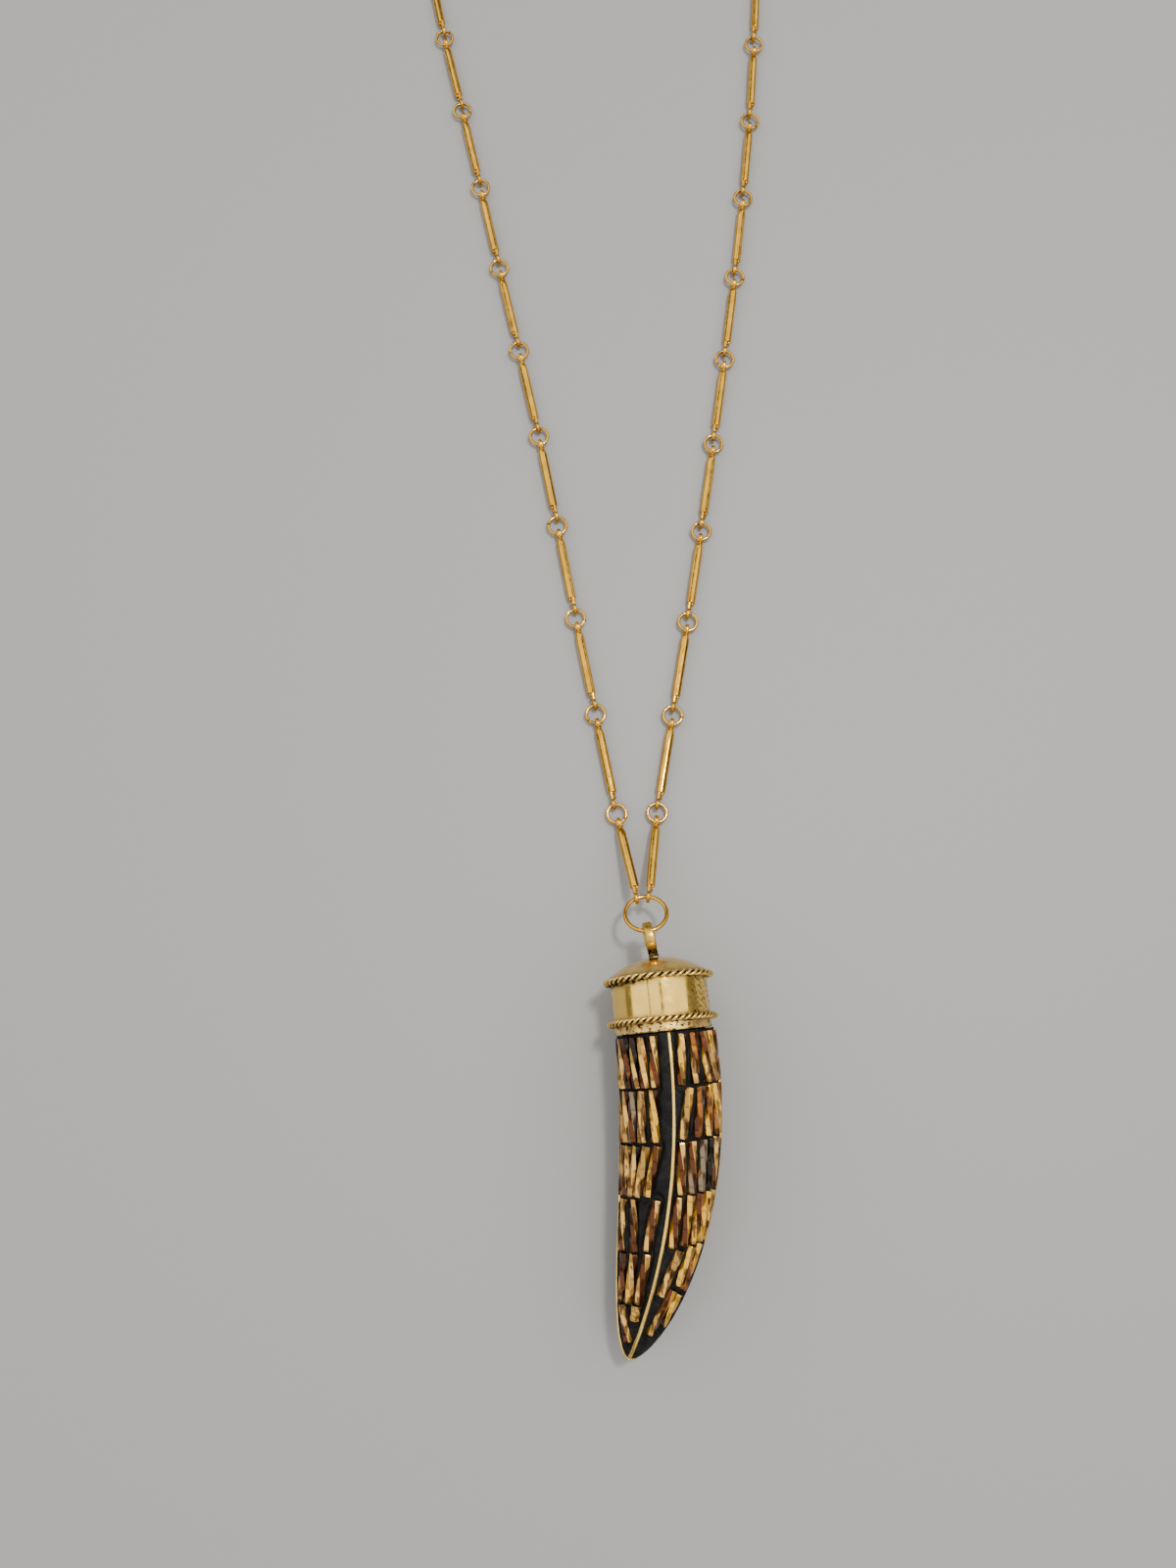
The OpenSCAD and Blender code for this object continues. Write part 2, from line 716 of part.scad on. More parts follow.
// One bar along X: a round rod, cut square at its near end and tapered at its far end, with an
// upright eye at each end
module bar() {
    rotate([0, 90, 0])
        rotate_extrude($fn = 32)
            polygon([
                [0, -bar_len / 2 - bar_taper],
                [tongue_d / 2, -bar_len / 2 - bar_taper],
                [tongue_d / 2, -bar_len / 2],
                [bar_d / 2, -bar_len / 2],
                [bar_d / 2, bar_len / 2],
                [taper_end_d / 2, bar_len / 2 + bar_taper],
                [0, bar_len / 2 + bar_taper]
            ]);
    for (s = [-1, 1])
        translate([s * bar_span / 2, 0, 0]) rotate([90, 0, 0]) torus(eye_r, eye_wire_d);
}

module bar_links() {
    color("#d8a233") placed()
        for (ends = BARS)
            let (step = ends[1] - ends[0])
            translate((ends[0] + ends[1]) / 2)
                rotate([0, -asin(step[2] / norm(step)), atan2(step[1], step[0])])
                    bar();
}

module jump_rings() {
    color("#d8a233") placed()
        for (p = RINGS)
            translate([p[0], p[1], link_z]) torus(jump_r, jump_wire_d);
}

horn_body();
front_beads();
back_beads();
front_wire();
back_wire();
side_wire();
cap();
upper_rim();
lower_rim();
pendant_ring();
bar_links();
jump_rings();
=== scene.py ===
# %% [markdown]
# # A horn pendant on a bar-link chain
# The pendant is a thick black resin horn. Twisted bugle beads are pressed into the resin in rows,
# and brass wires divide the rows. A polished brass cap with two twisted rims covers its mouth, and
# a bail and a round ring join it to a long chain of straight bars. The necklace lies on a table.
# Each cell below makes one piece or one finish, and says how the real one is made.

import bmesh
import bpy
import numpy as np
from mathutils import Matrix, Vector


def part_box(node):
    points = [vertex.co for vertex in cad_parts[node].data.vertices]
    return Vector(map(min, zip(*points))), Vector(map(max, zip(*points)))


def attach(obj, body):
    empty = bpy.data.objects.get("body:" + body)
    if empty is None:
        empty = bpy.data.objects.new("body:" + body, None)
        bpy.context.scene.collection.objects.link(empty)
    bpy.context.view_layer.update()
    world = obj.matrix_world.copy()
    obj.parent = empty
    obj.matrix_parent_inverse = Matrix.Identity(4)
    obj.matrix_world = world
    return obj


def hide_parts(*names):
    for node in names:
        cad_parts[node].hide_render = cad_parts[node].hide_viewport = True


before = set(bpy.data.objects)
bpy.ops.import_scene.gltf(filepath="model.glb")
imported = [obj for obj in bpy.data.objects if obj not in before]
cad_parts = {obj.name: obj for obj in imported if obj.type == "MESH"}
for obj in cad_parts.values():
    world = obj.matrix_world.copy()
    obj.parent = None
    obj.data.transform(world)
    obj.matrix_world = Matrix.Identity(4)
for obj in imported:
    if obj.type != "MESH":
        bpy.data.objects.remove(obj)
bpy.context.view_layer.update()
MM = 0.001

# %% [markdown]
# ## Camera
# The camera comes first, because every later choice is judged through it. The photograph was
# taken from 320 mm above the table, with a wide lens that leans 13.5 degrees from straight down
# towards the chain. The place is counted from the middle of the lower rim, which is easy to see.

# %% Camera
rim_low, rim_high = (np.array(corner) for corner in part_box("lower_rim"))
rim_middle = (rim_low + rim_high) / 2
camera_height, camera_lean = 0.32, np.radians(13.46)
camera_left, camera_down = 0.0178, 0.01539
camera_data = bpy.data.cameras.new("photo_camera")
camera_data.sensor_width = 36
camera_data.lens = 29.025
camera_data.clip_start = 0.01
camera = bpy.data.objects.new("photo_camera", camera_data)
camera.location = (rim_middle[0] - camera_left, rim_middle[1] - camera_down, camera_height)
camera.rotation_euler = (camera_lean, 0, 0)
bpy.context.scene.collection.objects.link(camera)
bpy.context.scene.camera = camera
print("camera at", tuple(round(v, 4) for v in camera.location))

# %% [markdown]
# ## The horn's form
# The horn is worked out standing below its cap: x to the right, y up from the table, z from the
# lower rim to the tip. `t` is the share of its length and `a` the angle round it, counted from the
# front. The same few sizes shape the solid model, so that every bead and wire meets the resin.

# %% Horn form
horn_len, horn_d, horn_bend, mouth_shift = 72.2, 24.9, 16.4, 0.4
bend_power, taper_power, tip_power, mouth_pinch = 2.2, 2.95, 0.6, 0.034
collar_drop, mouth_gap = 2.5, 0.2


def horn_radius(t):
    """Half the widest width, times a taper that closes at the tip, times a pinch at the mouth."""
    taper = np.maximum(0, 1 - np.power(t, taper_power)) ** tip_power
    return horn_d / 2 * taper * (1 - mouth_pinch * (1 - t) ** 8)


def stack(*parts):
    """Points from their x, y and z, each an array or a number."""
    return np.stack(np.broadcast_arrays(*parts), axis=-1).astype(float)


def unit(v):
    """Each vector divided by its own length."""
    return v / np.linalg.norm(v, axis=-1, keepdims=True)


def spine(t):
    """Middle of the horn: down along z, and to the left by a power of the share."""
    return stack(mouth_shift - horn_bend * t**bend_power, 0, collar_drop + mouth_gap + horn_len * t)


def spine_step(t):
    """How fast the spine's point moves with the share: the derivative of `spine`."""
    return stack(-bend_power * horn_bend * t ** (bend_power - 1), 0, horn_len + 0 * t)


def outward(t, a):
    """Direction from the spine at an angle, at right angles to the spine."""
    d = unit(spine_step(t))
    across = stack(d[..., 2], 0, -d[..., 0])
    return np.sin(a)[..., None] * across + np.cos(a)[..., None] * np.array([0, 1, 0])


def skin_direction(t, a):
    """Outward, leaned by the slope of the radius, and straight along the spine at the tip."""
    low, high = np.maximum(0, t - 0.001), np.minimum(1, t + 0.001)
    slope = (horn_radius(high) - horn_radius(low)) / (
        (high - low) * np.linalg.norm(spine_step(t), axis=-1)
    )
    along = unit(spine_step(t))
    leaned = unit(outward(t, a) - slope[..., None] * along)
    return np.where((t > 0.999)[..., None], along, leaned)


def skin(t, a, depth):
    """Point of the horn's surface, sunk by a depth."""
    t, a = np.broadcast_arrays(np.asarray(t, float), np.asarray(a, float))
    depth = np.broadcast_to(depth, t.shape)[..., None]
    return spine(t) + horn_radius(t)[..., None] * outward(t, a) - depth * skin_direction(t, a)


print("horn radius at the mouth, a third, two thirds:", horn_radius(np.array([0, 1 / 3, 2 / 3])))

# %% [markdown]
# ## Laying it down
# The pendant rests on its lower rim and on the horn's back, so its axis tilts by a degree or two.
# One function turns points from the standing frame onto the table, and scales them to metres.

# %% Lay on the table
cap_r, strand_d, fit = 11.6, 0.84, 0.12
rim_r = cap_r + fit + strand_d
shares = np.arange(0.05, 0.9, 0.01)
tilt = np.min(np.arctan((rim_r + strand_d - horn_radius(shares)) / spine(shares)[:, 2]))
lean = np.radians(5.5)


def laid(points):
    """Turn about x by a right angle and the tilt, then about z by the lean, then onto the rim."""
    x, y, z = points[..., 0], points[..., 1], points[..., 2]
    turn = np.pi / 2 + tilt
    y, z = y * np.cos(turn) - z * np.sin(turn), y * np.sin(turn) + z * np.cos(turn)
    x, y = x * np.cos(lean) - y * np.sin(lean), x * np.sin(lean) + y * np.cos(lean)
    return stack(x, y, z) * MM + rim_middle


print("tilt in degrees:", round(float(np.degrees(tilt)), 2))

# %% [markdown]
# ## From arrays to meshes
# Every piece is an array of points, with faces given as index arrays. `foreach_set` copies whole
# arrays into a mesh, which is quick however many points there are. A grid of points becomes a
# tube when its columns close up, and a ring when its rows close up too. Every shell is closed, and
# is turned so that its faces point outwards, because shading and other programs rely on it.

# %% Mesh helpers
def turn_outwards(mesh):
    """Turn the faces of each closed shell so that they point outwards."""
    shells = bmesh.new()
    shells.from_mesh(mesh)
    bmesh.ops.recalc_face_normals(shells, faces=shells.faces)
    shells.to_mesh(mesh)
    shells.free()


def add_piece(name, points, faces, nodes, corner_tones_and_light=None, grime_and_shade=None):
    """A mesh object from points (n by 3) and a list of face index arrays of equal width each."""
    mesh = bpy.data.meshes.new(name)
    sizes = np.concatenate([np.full(len(group), group.shape[1]) for group in faces])
    corners = np.concatenate([group.ravel() for group in faces])
    mesh.vertices.add(len(points))
    mesh.vertices.foreach_set("co", np.asarray(points, np.float32).ravel())
    mesh.loops.add(len(corners))
    mesh.loops.foreach_set("vertex_index", corners.astype(np.int32))
    mesh.polygons.add(len(sizes))
    starts = np.concatenate([[0], np.cumsum(sizes)[:-1]])
    mesh.polygons.foreach_set("loop_start", starts.astype(np.int32))
    mesh.polygons.foreach_set("use_smooth", np.ones(len(sizes), bool))
    mesh.update(calc_edges=True)
    # The corner colours are the bead facet tones, with painted highlights and shade in them.
    if corner_tones_and_light is not None:
        layer = mesh.color_attributes.new("tone", "FLOAT_COLOR", "CORNER")
        layer.data.foreach_set("color", corner_tones_and_light.astype(np.float32).ravel())
    # This mask marks both real dirt and painted shade.
    if grime_and_shade is not None:
        layer = mesh.attributes.new("grime_and_shade", "FLOAT", "POINT")
        layer.data.foreach_set("value", np.asarray(grime_and_shade, np.float32).ravel())
    turn_outwards(mesh)
    piece = bpy.data.objects.new(name, mesh)
    bpy.context.scene.collection.objects.link(piece)
    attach(piece, "root")
    if nodes:
        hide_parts(*nodes)
    print(name, len(points), "points,", int(np.sum(sizes - 2)), "triangles")
    return piece


def grid_faces(rows, columns, close_rows=False, start=0):
    """Quads between neighbouring rows of a grid whose columns close up into a loop."""
    index = start + np.arange(rows * columns).reshape(rows, columns)
    index = np.concatenate([index, index[:, :1]], axis=1)
    if close_rows:
        index = np.concatenate([index, index[:1]], axis=0)
    corners = [index[:-1, :-1], index[:-1, 1:], index[1:, 1:], index[1:, :-1]]
    return np.stack(corners, axis=-1).reshape(-1, 4)


def end_faces(rows, columns, start=0):
    """The two flat faces that close a tube's first and last row."""
    first = start + np.arange(columns)[::-1]
    last = start + (rows - 1) * columns + np.arange(columns)
    return np.stack([first, last])


def tube_points(path, radius, sides, off_path):
    """A round section carried along a path, turned about a fixed direction off the path."""
    along = unit(np.gradient(path, axis=0))
    across = unit(np.cross(along, off_path))
    up = np.cross(across, along)
    angle = np.linspace(0, 2 * np.pi, sides, endpoint=False)
    ring = np.cos(angle)[None, :, None] * across[:, None] + np.sin(angle)[None, :, None] * up[:, None]
    return path[:, None] + np.broadcast_to(radius, len(path))[:, None, None] * ring


def waves(points, scale, seed):
    """Smooth noise from -1 to 1: a sum of eight sine waves in directions set by the seed."""
    rng = np.random.default_rng(seed)
    total = np.zeros(points.shape[:-1])
    for _ in range(8):
        direction = rng.normal(size=3) / scale
        total += np.sin(points @ direction * 2 + rng.uniform(0, 2 * np.pi))
    return total / 8


def eased(value, low, high):
    """A smooth step from 0 at low to 1 at high."""
    x = np.clip((value - low) / (high - low), 0, 1)
    return x * x * (3 - 2 * x)


# %% [markdown]
# ## Brass
# The cap, rims, wires and chain are all polished brass, from pale to orange-gold. Real polish is
# never even: the roughness wanders, fine scratches run over it, and small pits catch dirt. A dark
# film colour follows a per-point attribute: real dirt in places, and painted shade in the corners
# and gaps where shade falls.

# %% Brass finishes
def node(tree, kind, **settings):
    """A new shader node of a kind, with its settings."""
    made = tree.nodes.new(kind)
    for key, value in settings.items():
        setattr(made, key, value)
    return made


def new_finish(name):
    """A material that holds one Principled shader, with its tree and that shader."""
    finish = bpy.data.materials.new(name)
    finish.use_nodes = True
    tree = finish.node_tree
    tree.nodes.clear()
    shader = node(tree, "ShaderNodeBsdfPrincipled")
    out = node(tree, "ShaderNodeOutputMaterial")
    tree.links.new(shader.outputs[0], out.inputs[0])
    return finish, tree, shader


def object_place(tree, scale=(1, 1, 1)):
    """The point on the object, in metres, stretched by a scale along each axis."""
    place = node(tree, "ShaderNodeTexCoord")
    mapping = node(tree, "ShaderNodeMapping")
    mapping.inputs["Scale"].default_value = scale
    tree.links.new(place.outputs["Object"], mapping.inputs["Vector"])
    return mapping.outputs["Vector"]


def noise(tree, scale, detail=4, roughness=0.55, stretch=(1, 1, 1)):
    """Noise on the object's own coordinates: a scale of 1000 gives grains of about 1 mm."""
    made = node(tree, "ShaderNodeTexNoise")
    made.inputs["Scale"].default_value = scale
    made.inputs["Detail"].default_value = detail
    made.inputs["Roughness"].default_value = roughness
    tree.links.new(object_place(tree, stretch), made.inputs["Vector"])
    return made.outputs["Fac"]


def ramp(tree, value, stops):
    """A colour ramp: each stop is a place from 0 to 1 and a colour."""
    made = node(tree, "ShaderNodeValToRGB")
    bands = made.color_ramp.elements
    while len(bands) < len(stops):
        bands.new(0.5)
    for band, (place, colour) in zip(bands, stops):
        band.position = place
        band.color = (*colour, 1)
    tree.links.new(value, made.inputs["Fac"])
    return made.outputs["Color"]


def blend(tree, factor, first, second):
    """Mix of two colours, each a socket or a plain colour."""
    made = node(tree, "ShaderNodeMix", data_type="RGBA")
    for socket, value in ((0, factor), (6, first), (7, second)):
        if isinstance(value, bpy.types.NodeSocket):
            tree.links.new(value, made.inputs[socket])
        elif isinstance(value, tuple):
            made.inputs[socket].default_value = (*value, 1)
        else:
            made.inputs[socket].default_value = value
    return made.outputs[2]


def to_range(tree, value, low, high, new_low, new_high):
    """A value carried from one range to another and held inside the new one."""
    made = node(tree, "ShaderNodeMapRange")
    tree.links.new(value, made.inputs["Value"])
    for key, number in zip(("From Min", "From Max", "To Min", "To Max"), (low, high, new_low, new_high)):
        made.inputs[key].default_value = number
    return made.outputs["Result"]


def bumps(tree, height, distance, strength, below=None):
    """A bump in metres from a height, laid over the bumps below it."""
    made = node(tree, "ShaderNodeBump")
    made.inputs["Distance"].default_value = distance
    made.inputs["Strength"].default_value = strength
    tree.links.new(height, made.inputs["Height"])
    if below is not None:
        tree.links.new(below, made.inputs["Normal"])
    return made.outputs["Normal"]


def brass(name, bright, deep, film_and_shade, smooth, rough, scratch, pits):
    """Polished brass: colour wanders from bright to deep, roughness from smooth to rough."""
    finish, tree, shader = new_finish(name)
    tone = ramp(tree, noise(tree, 260, 5), [(0.3, deep), (0.62, bright)])
    # The per-point mask mixes in the dark film colour: real dirt, and painted shade in corners and gaps.
    dirt_and_shade = node(tree, "ShaderNodeAttribute", attribute_name="grime_and_shade")
    patchy = node(tree, "ShaderNodeMath", operation="MULTIPLY")
    tree.links.new(dirt_and_shade.outputs["Fac"], patchy.inputs[0])
    tree.links.new(to_range(tree, noise(tree, 900, 6), 0.3, 0.62, 0.5, 1.3), patchy.inputs[1])
    patchy.use_clamp = True
    tree.links.new(blend(tree, patchy.outputs[0], tone, film_and_shade), shader.inputs["Base Color"])
    polish = to_range(tree, noise(tree, 700, 7, 0.65), 0.35, 0.7, smooth, rough)
    dull = node(tree, "ShaderNodeMath", operation="MULTIPLY_ADD")
    tree.links.new(patchy.outputs[0], dull.inputs[0])
    dull.inputs[1].default_value = 0.35
    tree.links.new(polish, dull.inputs[2])
    tree.links.new(dull.outputs[0], shader.inputs["Roughness"])
    shader.inputs["Metallic"].default_value = 1
    lines = bumps(tree, noise(tree, 1400, 5, 0.6, (1, 0.12, 1)), 0.00002, scratch)
    speckle = node(tree, "ShaderNodeTexVoronoi")
    speckle.inputs["Scale"].default_value = 1500
    tree.links.new(object_place(tree), speckle.inputs["Vector"])
    dots = to_range(tree, speckle.outputs["Distance"], 0.0, 0.35, 0, 1)
    tree.links.new(bumps(tree, dots, 0.00003, pits, lines), shader.inputs["Normal"])
    return finish


cap_brass = brass(
    "cap_brass", (0.98, 0.64, 0.15), (0.9, 0.55, 0.1), (0.03, 0.016, 0.006), 0.08, 0.22, 0.2, 0.12
)
# The dome's brass is darker and more olive than the band's: partly painted reflection of the dark far side
# of the room.
dome_brass = brass(
    "dome_brass", (0.84, 0.58, 0.17), (0.68, 0.44, 0.1), (0.02, 0.011, 0.004), 0.1, 0.24, 0.25, 0.15
)
collar_brass = brass(
    "collar_brass", (0.97, 0.68, 0.22), (0.6, 0.35, 0.08), (0.05, 0.016, 0.006), 0.14, 0.4, 0.9, 1.0
)
# Its near-black film colour is the painted shade in the gaps between the strands.
rim_brass = brass(
    "rim_brass", (0.97, 0.68, 0.2), (0.74, 0.47, 0.1), (0.008, 0.005, 0.002), 0.12, 0.28, 0.3, 0.3
)
wire_brass = brass(
    "wire_brass", (0.98, 0.68, 0.2), (0.86, 0.52, 0.11), (0.12, 0.07, 0.02), 0.18, 0.38, 0.6, 0.4
)
# Its near-black film colour is the painted shade round the neck.
bail_brass = brass(
    "bail_brass", (0.68, 0.42, 0.085), (0.46, 0.27, 0.045), (0.006, 0.004, 0.002), 0.18, 0.38, 0.5, 0.4
)
chain_gold = brass(
    "chain_gold", (0.85, 0.47, 0.062), (0.6, 0.31, 0.03), (0.04, 0.02, 0.004), 0.08, 0.2, 0.2, 0.12
)
solder_brass = brass(
    "solder_brass", (0.98, 0.86, 0.5), (0.85, 0.68, 0.3), (0.02, 0.012, 0.004), 0.28, 0.48, 0.3, 0.3
)
print("brass finishes:", [m.name for m in bpy.data.materials if "brass" in m.name or "gold" in m.name])

# %% [markdown]
# ## Where the beads lie
# The maker pressed 12 mm bugle beads into soft resin in six rows on each face, by hand, so no row
# is quite even. Each bead is charted from the middle wire outwards: its place at the top and at
# the foot, in bead widths, its length as a share and, where it isn't level with its row, how far
# down it is moved. The back repeats the front's chart.

# %% Bead chart
bead_r, bead_len, bead_pitch, row_gap, first_row, wire_r = 1.05, 11.5, 2.3, 0.5, 0.6, 0.5
LEFT_ROWS = [
    [(1.65, 1.75, 1), (2.9, 2.9, 1), (3.95, 3.95, 1), (5.15, 5.05, 1), (6.25, 6.15, 1), (7.3, 7.25, 1)],
    [(2, 1.8, 1), (3.25, 3.3, 1), (4.45, 4.6, 1), (5.65, 5.75, 1), (6.85, 6.85, 1)],
    [(1.5, 2.3, 1), (2.7, 3.4, 1), (3.85, 4.45, 1), (5, 5.5, 1), (6.2, 6.55, 1)],
    [(1.15, 1.45, 1), (3.7, 2.75, 1), (5.3, 4.6, 1)],
    [(1.25, 1.05, 1), (2.65, 2.05, 0.96), (4.1, 3.05, 0.9)],
    [(1.1, 0.85, 0.3), (2.6, 0.85, 0.72)],
]
RIGHT_ROWS = [
    [(1.3, 0.85, 1), (2.65, 2.35, 1), (3.9, 4, 1), (5.05, 5.1, 1), (6.05, 6.1, 1), (7.05, 7.1, 1)],
    [(1.75, 0.85, 1), (3.1, 2.4, 1), (4.25, 3.9, 1), (5.5, 5.4, 1), (6.65, 6.5, 1)],
    [(0.85, 1.1, 1), (1.95, 2.2, 1), (3.3, 3.3, 1), (4.4, 4.4, 1), (5.6, 5.5, 1)],
    [(0.9, 0.95, 0.98), (2.15, 2.05, 0.98), (3.3, 3.15, 0.98), (4.6, 4.2, 0.98), (5.65, 5.25, 0.98)],
    [(1.9, 0.85, 0.95), (3.35, 2.45, 0.8), (4.6, 3.6, 0.95)],
    [(2.1, 0.95, 1, -2), (3.2, 2.2, 0.7)],
]
steps = np.arange(61) / 60


def side_lengths(side):
    """Length along the surface from the mouth to each step, down the left or right side."""
    line = skin(steps, np.full(61, side * np.pi / 2), bead_r)
    return np.concatenate([[0], np.cumsum(np.linalg.norm(np.diff(line, axis=0), axis=1))])


left_lengths, right_lengths = side_lengths(-1), side_lengths(1)
surface_len = min(left_lengths[-1], right_lengths[-1])


def station(a, s):
    """Share t at a length s: between the left and the right side it changes with the sine."""
    left, right = np.interp(s, left_lengths, steps), np.interp(s, right_lengths, steps)
    return left * (1 - np.sin(a)) / 2 + right * (1 + np.sin(a)) / 2


def place_angle(place, t):
    """Angle of a place counted in bead widths: the length round the horn over its radius."""
    return place * bead_pitch / (horn_radius(t) - bead_r)


def side_wire_angle(side, t):
    """A curve through three angles: at the mouth, half way down and at the tip."""
    mouth, middle, tip = (104, 95, 88) if side < 0 else (98, 88, 99)
    return np.radians(mouth * (1 - t) * (1 - 2 * t) + 4 * middle * t * (1 - t) + tip * t * (2 * t - 1))


def panel(side, rows, back):
    """Both ends and the outward direction of each bead, with its row and number in the chart."""
    made = []
    for row, beads in enumerate(rows):
        for number, (top_place, foot_place, share, *moved) in enumerate(beads):
            s0 = first_row + row * (bead_len + row_gap) + sum(moved)
            length = bead_len * share
            ends = []
            clear = s0 + length < surface_len - 2 * wire_r
            for place, s in ((top_place, s0), (foot_place, s0 + length)):
                t = station(side * place_angle(place, station(0.0, s)), s)
                wire = side_wire_angle(side, t)
                edge = place + (bead_r + wire_r + fit) / bead_pitch
                clear = clear and place_angle(edge, t) < (np.pi - wire if back else wire)
                turn = place_angle(place, t)
                ends.append((t, side * (np.pi - turn if back else turn)))
            (t0, a0), (t1, a1) = ends
            if not clear:
                continue
            top, foot = skin(t0, a0, bead_r), skin(t1, a1, bead_r)
            half = unit(foot - top) * length / 2
            middle = (top + foot) / 2
            out = outward(np.array((t0 + t1) / 2), np.array((a0 + a1) / 2))
            made.append((middle - half, middle + half, out, row, number))
    return made


front = [(bead, "left") for bead in panel(-1, LEFT_ROWS, False)]
front += [(bead, "right") for bead in panel(1, RIGHT_ROWS, False)]
back = [(bead, "left") for bead in panel(-1, LEFT_ROWS, True)]
back += [(bead, "right") for bead in panel(1, RIGHT_ROWS, True)]
print(len(front), "beads on the front and", len(back), "on the back")

# %% [markdown]
# ## Bead glass
# A twisted bugle bead is a six-sided glass rod, turned while soft, with a bronze lustre fired on.
# Its facets run round it like a slow screw, so each one shows light for a stretch and then turns
# away. The tones are charted by letter, for the facets that face up at the top, middle and foot:
# cream, tan, gold, amber, brown, smoke and dark. The chart is partly the lustre's own colour and
# partly painted light: facets that caught a highlight are charted cream and gold, and those turned
# away from the light are charted brown and dark.

# %% Bead tones
# Letter colours: partly the lustre's own colour, partly painted light, since cream and gold stand for
# highlights and brown and dark for shade.
TONES_AND_LIGHT = {
    "c": (0.76, 0.42, 0.092),
    "t": (0.42, 0.225, 0.048),
    "g": (0.82, 0.43, 0.036),
    "a": (0.3, 0.1, 0.012),
    "b": (0.1, 0.026, 0.004),
    "s": (0.22, 0.155, 0.09),
    "d": (0.014, 0.009, 0.004),
}
LEFT_TONES_AND_LIGHT = [
    "cbc tcb dcd bdd ccb dtd",
    "ggb tct sbs ctb tad",
    "bgt tct ctd cbc tbt",
    "cbc tbb cbg",
    "cbc cgb bcb",
    "c cbc",
]
RIGHT_TONES_AND_LIGHT = [
    "cgb bat tbg bgt abt tat",
    "gtc sab gag aga tac",
    "cbg cbs sss ddd tcb",
    "cbg tgb abg ggg gtg",
    "ctc tgg aga",
    "gbt dgg",
]


def facet_tones_and_light(entry):
    """Six tones round a bead: the three charted ones face out, and the other three are darkened copies of
    them, as painted shade.
    """
    (_, _, _, row, number), side = entry
    words = (LEFT_TONES_AND_LIGHT if side == "left" else RIGHT_TONES_AND_LIGHT)[row].split()
    word = (words[number] * 3)[:3]
    top, middle, foot = (np.array(TONES_AND_LIGHT[letter]) for letter in word)
    return np.stack([middle, top, foot * 0.5, middle * 0.3, top * 0.5, foot])


def bead_mesh(name, entries, nodes):
    """Twisted six-sided rods: two columns of points at each edge, and a tiny chamfer at each end."""
    ends = np.array([[bead[0], bead[1]] for bead, _ in entries])
    out = np.array([bead[2] for bead, _ in entries])
    along = unit(ends[:, 1] - ends[:, 0])
    across = unit(np.cross(along, out))
    up = np.cross(across, along)
    corner = np.radians(60 * np.arange(6)[:, None] + np.array([-4, 4])[None, :]).ravel()
    reach = np.cos(np.radians(30)) / np.cos(np.radians(26))
    share = np.concatenate([[0], np.linspace(0.008, 0.992, 24), [1]])
    width = np.concatenate([[0.93], np.ones(24), [0.93]])
    rng = np.random.default_rng(7)
    phase = np.radians(rng.uniform(-22, 22, len(entries)))
    size = visual_bead_r * reach * rng.uniform(0.97, 1.03, len(entries))
    angle = corner[None, None] + bead_twist * share[None, :, None] + phase[:, None, None]
    radius = size[:, None, None] * width[None, :, None] * (1 + 0 * angle)
    section = np.cos(angle)[..., None] * across[:, None, None] + np.sin(angle)[..., None] * up[:, None, None]
    centre = ends[:, :1] + (ends[:, 1:] - ends[:, :1]) * share[None, :, None]
    points = centre[:, :, None] + radius[..., None] * section
    count, rows, sides = points.shape[:3]
    walls = np.concatenate([grid_faces(rows, sides, start=i * rows * sides) for i in range(count)])
    closed = np.concatenate([end_faces(rows, sides, start=i * rows * sides) for i in range(count)])
    tones_and_light = np.stack([facet_tones_and_light(entry) for entry in entries])
    facet = np.arange(sides) // 2
    wall_tones_and_light = np.broadcast_to(tones_and_light[:, None, facet], (count, rows - 1, sides, 3))
    wall_tones_and_light = np.repeat(wall_tones_and_light.reshape(-1, 3), 4, axis=0)
    end_tones = np.full((count * 2 * sides, 3), 0.012)
    corner_tones_and_light = np.concatenate([wall_tones_and_light, end_tones])
    corner_tones_and_light = np.concatenate([corner_tones_and_light, np.ones((len(corner_tones_and_light), 1))], axis=1)
    piece = add_piece(name, laid(points.reshape(-1, 3)), [walls, closed], nodes, corner_tones_and_light)
    sharpen(piece.data, rows, sides)
    return piece


def sharpen(mesh, rows, sides):
    """Mark every edge that runs along a bead, and both ends' outlines, as sharp."""
    pairs = np.empty(len(mesh.edges) * 2, np.int32)
    mesh.edges.foreach_get("vertices", pairs)
    first, second = pairs.reshape(-1, 2).T
    same_column = first % sides == second % sides
    row = first // sides % rows
    outline = (first // sides == second // sides) & ((row == 0) | (row == rows - 1))
    sharp = mesh.attributes.new("sharp_edge", "BOOLEAN", "EDGE")
    sharp.data.foreach_set("value", same_column | outline)


bead_twist, visual_bead_r = np.radians(110), 1.13
bead_glass, tree, shader = new_finish("bead_glass")
# The tone attribute holds the facet colours, with their painted highlights and shade.
tone = node(tree, "ShaderNodeVertexColor", layer_name="tone")
streaks = noise(tree, 620, 3, 0.5, (1, 0.3, 1))
worn = blend(tree, to_range(tree, streaks, 0.53, 0.59, 0, 0.85), tone.outputs["Color"], (0.06, 0.018, 0.004))
tree.links.new(worn, shader.inputs["Base Color"])
shader.inputs["Metallic"].default_value = 0.8
tree.links.new(to_range(tree, noise(tree, 900, 4), 0.3, 0.7, 0.1, 0.3), shader.inputs["Roughness"])
shader.inputs["Coat Weight"].default_value = 0.18
shader.inputs["Coat Roughness"].default_value = 0.06
tree.links.new(bumps(tree, noise(tree, 1100, 4), 0.00003, 0.25), shader.inputs["Normal"])

